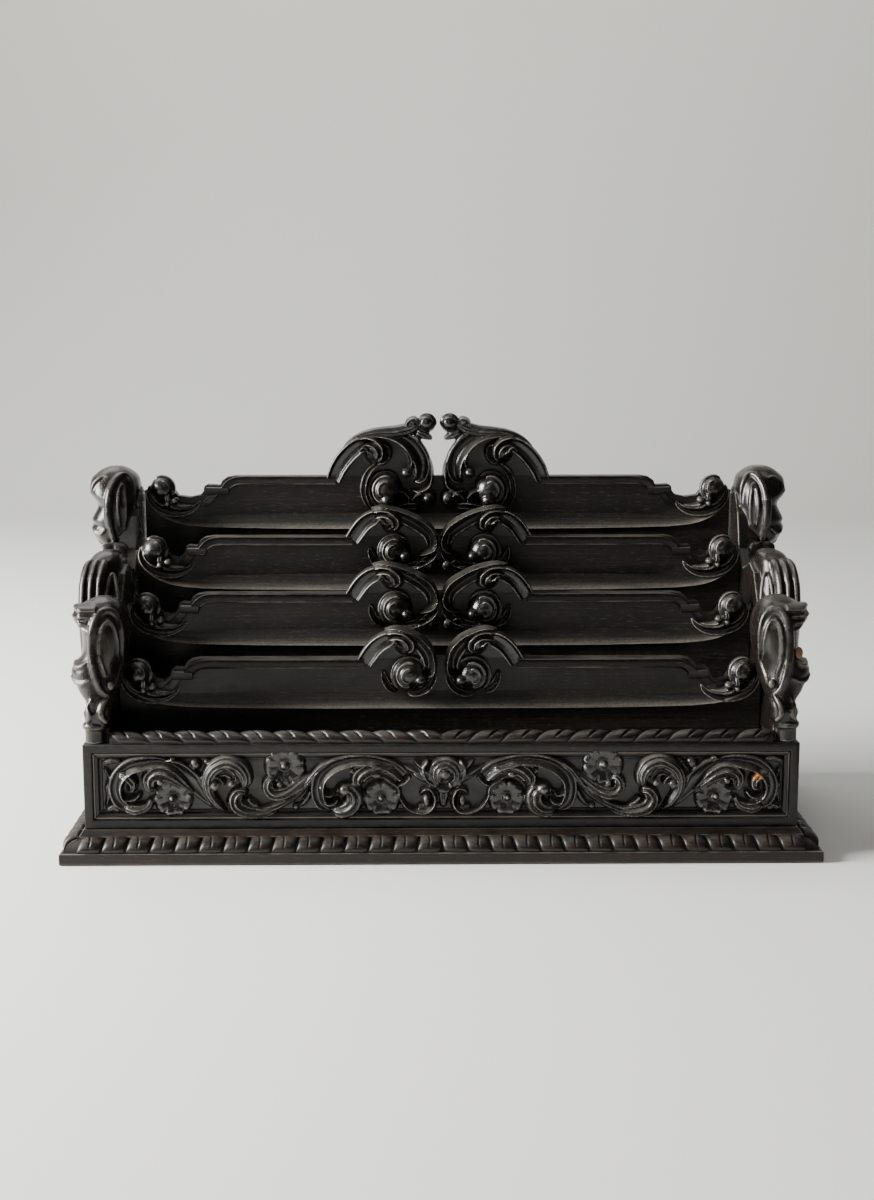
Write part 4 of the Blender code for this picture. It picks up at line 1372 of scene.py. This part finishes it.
def divider_board(tier):
    """The board itself, in mm: level top, dropped tab, scooped end; a moulding and a dished field.

    Only the slab is whole; the strokes after it are the right half, for mirroring.
    """
    scroll, run, tab, field = (tier[name] for name in ("scroll", "run", "tab", "field"))
    board = Carving()
    bx = BALL_AT[0]
    half = [
        (scroll - 3, 0), (run - 9, 0), (run - 4, -0.8), (run - 0.8, -3.0), (run + 0.4, -6.0),
        (tab - 1.6, -5.6), (tab, -6.6),
        (tab + 0.6, -9.6), (tab + 2.6, -12.2), ((tab + bx - 8) / 2, -13.6), (bx - 9.4, -12.6),
        (bx - 6, -8), (bx, -4),
        (bx + 6, -9), (END_X, -12.6),
    ]
    floor = -(tier["top"] / MM - BOARD_FOOT)
    outline = [(END_X, floor), *reversed(half), *[(-x, y) for x, y in half], (-END_X, floor)]
    board.slab(outline, -BOARD_THICKNESS, FIELD)
    whole = len(board.points)
    moulding = [
        (-1, 0.5), (-0.93, 0.92), (-0.8, 1), (-0.68, 0.78), (-0.55, 0.6), (0, 0.66), (0.6, 0.84),
        (0.9, 0.98), (1, 0.86),
    ]
    arris = [
        (-1, 0.3), (-1, 0.86), (-0.94, 1), (-0.8, 0.93), (-0.5, 0.66), (-0.1, 0.38), (0.4, 0.16),
        (1, 0.03),
    ]
    level = [
        (scroll - 4, -2.7), (run - 26, -2.7), (run - 12, -2.9), (run - 6.4, -4.6), (run - 3.0, -8.0),
        (run - 2.4, -10.4),
    ]
    board.stroke(level, 5.6, [3.4, 3.4, 3.4, 3.4, 3.2, 3.0], moulding, FIELD, -6, (0, 0.01))
    step = [(-1, 0.9), (-0.8, 1), (0, 0.9), (0.8, 1), (1, 0.6)]
    board.stroke([(run - 4.8, -9.4), (tab - 1.2, -9.2)], 4.8, 3.2, step, FIELD, -6, (0, 0))
    board.stroke(
        [(run + 3.6, -10.4), (run + 6.6, -14.4), (run + 11.4, -18.4)], 4.6, [3.0, 2.6, 1.6], step,
        FIELD, -6, (0, 0),
    )
    lower = [
        (0, -field + 4.6), (130, -field + 4.6), (150, -field + 4.8), (165, -field + 6.4),
        (176, -field + 11),
    ]
    lower += [(182.6, -field + 18), (185.4, -field + 25)]
    board.stroke(lower, [10, 10, 10, 9.6, 8.4, 6.4, 4], 3.4, arris, FIELD, -6, (0, 0))
    board.mirror(0.0, whole)
    return board


def marks_by_height(mesh, levels):
    """Hollow marks by height above the field: painted shade at the foot of slopes, rubbed arrises with a
    painted highlight along the tops.
    """
    z = corners_of(mesh)[:, 2]
    mark(mesh, "hollow", np.interp(z, [level for level, _ in levels], [value for _, value in levels]))


def dividers():
    """Each divider: its moulded board, the crest in its middle and the scrolls at its ends."""
    for name, tier in TIERS.items():
        face = (0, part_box(name)[1].y - 0.011, tier["top"])
        board = divider_board(tier)
        mesh = bpy.data.meshes.new(name + "_board")
        mesh.from_pydata(board.points, [], board.faces)
        marks_by_height(
            mesh,
            [
                (FIELD - 0.5, 0.0), (FIELD + 0.1, 0.5), (FIELD + 1.8, 0.8), (FIELD + 3.0, 0.1),
                (FIELD + 3.4, -0.9),
            ],
        )
        points = corners_of(mesh)
        sweep = -tier["field"] + 11.5 + 20 * np.clip((np.abs(points[:, 0]) - 150) / 36, 0, 1) ** 1.6
        sloped = np.clip((points[:, 2] - FIELD) / 3.3, 0, 1)
        # The pale mark: pale dust with a painted highlight along the field's lower arris, strongest at its
        # outer edge
        mark(mesh, "pale", (0.85 * sloped**3 + 0.08) * (points[:, 1] < sweep))
        shade(mesh, 30)
        laid(mesh, FRONT_FACE, face)
        piece(name + "_board", mesh, DIVIDER, "ebony_dividers", name)

        crest = Carving()
        if name == "divider_back":
            great_crest(crest)
        else:
            small_crest(crest, tier["scroll"] - 48.6, name != "divider_front")
        crest.mirror(0.0)
        mesh = crest.fused(
            name + "_crest", 0.42 if name != "divider_back" else 0.48, cut=CARVED_BACK,
            ground=FIELD - 0.4,
        )
        laid(mesh, FRONT_FACE, face)
        piece(name + "_crest", mesh, CREST, "ebony_dividers", name)

        ends = Carving()
        terminal(ends)
        ends.mirror(0.0)
        mesh = ends.fused(name + "_end_scrolls", 0.42, limit=90000, cut=CARVED_BACK)
        laid(mesh, FRONT_FACE, face)
        piece(name + "_end_scrolls", mesh, CREST, "ebony_dividers", name)


# ---------------------------------------------------------------- end panels


PANEL_MIDDLE = 193.8  # from the stand's middle to the middle of an end board's thickness


def end_panel(side, word):
    """A scrolled board: a turned post, then three volutes stepping back up the side."""
    carving = Carving()
    # x is depth from front to back, y is height, z is outwards from the board's middle
    outline = [
        (-83, 67), (88, 67), (88, 168), (86, 178), (78, 190), (66, 196), (54, 192), (44, 180),
        (37, 160), (26, 149),
    ]
    outline += [
        (14, 152), (2, 156), (-12, 152), (-24, 138), (-37, 126), (-46, 132), (-58, 138), (-70, 134),
        (-77, 122),
    ]
    outline += [(-79, 104), (-79, 84)]
    carving.slab(outline, -6.0, 6.0)
    post = [
        (66.8, 5.8), (68.0, 5.6), (73.6, 5.5), (74.4, 5.9), (75.2, 6.9), (77.2, 7.0), (78.0, 6.2),
        (78.6, 5.4), (80.4, 5.6),
    ]
    carving.turned((-82.0, 1.6), post + [(84, 5.2), (88, 3.0)])
    leaf = flutes(3, 0.4)
    # Front volute: height, inner and outer edge, front and back of its rows, from the collar up
    skin = carving.column([
        (77.0, -6.0, 6.4, -87, -77), (80.0, -7.6, 6.8, -88, -75), (83.5, -7.6, 7.8, -88.6, -74),
        (87, -8.2, 6.6, -88, -70),
        (90, -8.6, 7.4, -87, -62), (93.8, -9.8, 10.9, -86, -54), (98, -11.2, 13.4, -85.4, -48),
        (102, -12.0, 15.8, -85, -45),
        (106, -12.2, 16.4, -84.4, -43), (110.2, -12.6, 14.4, -84, -42), (113, -13.4, 11.6, -83.6, -41.4),
        (117, -14.8, 10.2, -83.2, -41), (124, -16.0, 10.0, -82.6, -40.6), (129.4, -16.2, 10.8, -82, -41),
        (133, -15.8, 13.0, -81, -42), (136.5, -15.0, 15.2, -79.6, -43.4), (139.4, -13.8, 14.2, -77.8, -45),
        (142, -12.4, 11.4, -75.4, -47.6), (144.6, -9.6, 6.4, -72, -51), (146.6, -5.6, 2.0, -66, -57),
    ])
    outer_rim = [
        (-9.4, 97.5), (-11.2, 106), (-13.4, 117), (-13.8, 128), (-11.6, 136.4), (-7, 140.8),
        (-1.6, 138.6),
    ]
    outer_rim += [(1.2, 130), (1.6, 118), (0.2, 107), (-2.6, 98), (-6.6, 93)]
    carving.vein(skin, outer_rim, [0.6, 1.0, 1.3, 1.7, 2.3, 2.8, 2.8, 2.2, 1.2])
    carving.vein(
        skin,
        [
            (-11.6, 112), (-12.0, 122), (-10.4, 131), (-7.2, 135), (-4.2, 132.4), (-2.6, 124),
            (-3.0, 114), (-5.2, 105),
        ],
        [0.5, 0.8, 1.1, 1.4, 1.6, 1.4, 0.8],
    )
    carving.ball((-83.4, 99.4), (2.0, 2.6), 2.0, -8.0)
    carving.vein(skin, [(2.4, 139.6), (6, 139), (10, 136.8), (14, 137.4)], [1.0, 1.5, 1.5, 1.2])
    carving.vein(skin, [(4, 129), (7.6, 130.4), (11, 132.4)], [0.6, 1.2, 0.8])
    carving.vein(skin, [(4.4, 113), (8.4, 110), (12, 109.4), (14.6, 111)], [0.6, 1.2, 1.4, 1.0])
    carving.vein(skin, [(3, 103), (8, 100.6), (12, 101), (15, 103.4)], [0.6, 1.2, 1.4, 1.0])
    carving.vein(skin, [(-6.4, 93), (-3.6, 88), (-3.2, 83), (-5.4, 79)], [1.0, 1.8, 2.0, 1.2])
    carving.vein(skin, [(2.4, 92), (4.4, 87.6), (3.0, 82.6), (5.2, 79.6)], [0.8, 1.6, 1.6, 1.4])
    for level, reach in ((137, 14.8), (104, 15.6)):
        for shift in (-3.4, 0.4, 4.0):
            path = [
                (-48, level - 6 + shift), (-58, level - 1 + shift), (-70, level + 1 + shift),
                (-80, level + shift),
            ]
            carving.stroke(
                path, [2, 3.4, 3.6, 3], [1.4, 2.2, 2.2, 1.6], ROUND,
                [reach - 5, reach - 2, reach - 2.6, reach - 6.4], 0.0,
            )
    # The middle of the side: a rounded cap over a strap with three ribs, an arch on its inner side
    carving.column([
        (128, -3.6, 12.0, -30, 4), (140, -3.4, 14.6, -26, 8), (150, -3.0, 16.0, -21, 12),
        (156, -2.8, 16.6, -18, 14),
        (160, -2.4, 15.4, -15.6, 13), (162.8, -1.6, 12.6, -11, 10), (164.4, 1.6, 8.6, -6, 5),
    ])
    ribs = flutes(3, 0.7, 0.5)
    carving.ribbon(
        [(-36, 108), (-33.6, 124), (-29.4, 141), (-24, 152), (-16, 158), (-6, 160)], 14.6,
        [3, 4.0, 4.2, 4.0, 3.2, 1.6],
        ribs, middle=[9.6, 10.6, 11.4, 11.4, 10.4, 9], inward=9.0, ends=(0.0, 0.2),
    )
    carving.ribbon(
        [(6, 156), (20, 150), (31, 153), (38, 164)], 16, 2.4, flutes(2, 0.4, 0.4), middle=[5, 7, 8, 9],
        inward=9.0,
    )
    inner_arch = [
        (-31, 124, -3.4), (-27.6, 138, -4.0), (-23, 151, -2.0), (-22.6, 152.6, 0.6), (-27.6, 142, 2.6),
        (-32, 124, 2.4),
    ]
    carving.cord(smooth_line(inner_arch, 1.0), 1.2)
    # Back volute
    skin = carving.column([
        (157.6, 2.4, 14.0, 47, 76), (159.6, 1.8, 16.6, 44, 79), (162.4, 0.6, 20.0, 41, 82),
        (166, -0.8, 23.0, 39, 84),
        (170.8, -2.4, 25.6, 38, 85.4), (174, -3.0, 24.2, 37.6, 86), (177, -3.6, 25.0, 37.6, 86.4),
        (181, -4.2, 23.0, 37.6, 86.6),
        (185.6, -4.6, 21.0, 37.8, 86.6), (189, -4.8, 22.6, 38.4, 86.4), (192, -5.0, 25.4, 39.4, 86),
        (196, -5.0, 26.2, 41, 85),
        (202, -3.8, 25.2, 45, 82), (205, -1.0, 22.2, 48, 80), (207.4, 2.4, 19.0, 52, 76),
        (209, 6.4, 15.0, 57, 71),
    ])
    outer_rim = [
        (2.0, 163), (-1.4, 172), (-2.8, 184), (-2.6, 196), (0.6, 203.4), (5.4, 204.4), (9.6, 198),
        (11.4, 188), (11.0, 176), (8.6, 165),
    ]
    carving.vein(skin, outer_rim, [0.8, 1.0, 1.3, 1.8, 2.2, 2.8, 2.6, 1.6])
    carving.vein(
        skin, [(3.4, 168), (1.8, 178), (1.4, 188), (3.4, 199), (5.2, 196), (5.8, 186), (5.2, 174)],
        [0.6, 1.1, 1.2, 1.4, 1.3, 1.0, 0.7],
    )
    carving.vein(skin, [(12.6, 203), (16.6, 203.4), (21, 200), (23.6, 194)], [0.8, 1.4, 1.6, 1.2])
    carving.vein(skin, [(14, 172), (18, 168.6), (22, 170)], [0.8, 1.4, 1.2])
    for level, reach in ((197, 24.4), (177, 22.6), (168, 23.6)):
        for shift in (-3.2, 1.0):
            path = [
                (82, level - 5 + shift), (72, level + shift), (58, level + 1 + shift),
                (46, level - 3 + shift),
            ]
            carving.stroke(
                path, [2, 3.4, 3.6, 3], [1.4, 2.2, 2.2, 1.6], ROUND,
                [reach - 6, reach - 1.6, reach - 1.6, reach - 6], 4.0,
            )
    mesh = carving.fused("end_panel", 0.6, limit=190000)
    turn = END_FACE if side > 0 else Matrix(((0, 0, -1), (1, 0, 0), (0, 1, 0)))
    laid(mesh, turn, (side * PANEL_MIDDLE * MM, 0, 0))
    piece("end_panel_carving_" + word, mesh, END_PANEL, "ebony_end_panels", "end_panel_" + word)


def plug():
    """A worn wooden plug set in the front edge of the right panel's front volute."""
    carving = Carving()
    carving.ball((0, 0), (2.3, 3.6), 1.5, 0.0)
    mesh = carving.fused("plug", 0.3)
    laid(mesh, FRONT_FACE, (0.2012, -0.0806, 0.1166))
    piece("panel_plug", mesh, PLUG, "ebony_end_panels")


# ---------------------------------------------------------------- boards and fixings


def boards():
    """The plain boards with eased arrises, and the finish of the hidden screws and dowels."""
    for node, finish in (
        ("box_front", BOARD), ("box_back", BOARD), ("box_floor", BOARD), ("base_board", BOARD),
        ("box_side_left", SIDE_BOARD), ("box_side_right", SIDE_BOARD),
    ):
        piece(node + "_eased", softened(node, 0.0006, -0.1), finish, "ebony_boards", node)
    for node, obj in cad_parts.items():
        if node.startswith(("base_screw", "dowel")):
            obj.data.materials.clear()
            obj.data.materials.append(STEEL if node.startswith("base_screw") else BEECH)


# ---------------------------------------------------------------- stage, light and camera


def stage():
    """A pale floor sweeping up into the backdrop without an edge."""
    reach, radius = 1.5, 0.9
    profile = [(-3.0, 0.0), (reach, 0.0)]
    profile += [
        (reach + radius * math.sin(a), radius * (1 - math.cos(a)))
        for a in np.linspace(0.1, math.pi / 2, 14)
    ]
    profile.append((reach + radius, 4.0))
    points = [(x, y, z) for x in (-4, 4) for y, z in profile]
    count = len(profile)
    sweep = bpy.data.meshes.new("floor")
    sweep.from_pydata(points, [], [(i, i + count, i + count + 1, i + 1) for i in range(count - 1)])
    sweep.shade_smooth()
    material, tree, shader = new_finish("pale_paper")
    shader.inputs["Base Color"].default_value = linear("F0EFEA")
    shader.inputs["Roughness"].default_value = 0.8
    sweep.materials.append(material)
    obj = bpy.data.objects.new("floor", sweep)
    bpy.context.scene.collection.objects.link(obj)


def lamp(name, place, target, size, power, colour):
    """A soft rectangular light in watts, turned to face its target."""
    light = bpy.data.lights.new(name, "AREA")
    light.shape = "RECTANGLE"
    light.size, light.size_y = size
    light.energy = power
    light.color = linear(colour)[:3]
    obj = bpy.data.objects.new(name, light)
    bpy.context.scene.collection.objects.link(obj)
    obj.location = place
    obj.rotation_euler = (Vector(target) - Vector(place)).to_track_quat("-Z", "Y").to_euler()


def lights():
    lamp("window", (-1.50, -0.20, 0.66), (0, 0, 0.1), (0.7, 0.8), 126, "F6F6F3")
    lamp("front_fill", (-0.60, -1.60, 1.10), (0, 0, 0.1), (0.7, 0.7), 4, "F2F1EE")
    lamp("sky", (-0.7, 1.1, 1.5), (0, 0, 0.1), (1.2, 0.8), 12, "F0F2F4")
    lamp("overhead", (0.3, 0.2, 2.4), (0.1, 0.3, 0), (0.9, 0.9), 10, "F2F2F0")
    world = bpy.data.worlds.new("studio")
    world.use_nodes = True
    world.node_tree.nodes["Background"].inputs["Color"].default_value = linear("C9CBCD")
    world.node_tree.nodes["Background"].inputs["Strength"].default_value = 0.08
    bpy.context.scene.world = world


def camera():
    data = bpy.data.cameras.new("camera")
    data.lens = 51.58
    data.sensor_width = 36
    obj = bpy.data.objects.new("camera", data)
    bpy.context.scene.collection.objects.link(obj)
    obj.location = (-0.0154, -1.0272, 0.3098)
    obj.rotation_euler = (math.radians(90 - 9.739), 0, math.radians(-0.768))
    bpy.context.scene.camera = obj


camera()
boards()
plinth()
rail()
panel_beads()
front_panel()
side_panels()
dividers()
for side, word in SIDES:
    end_panel(side, word)
plug()
stage()
lights()
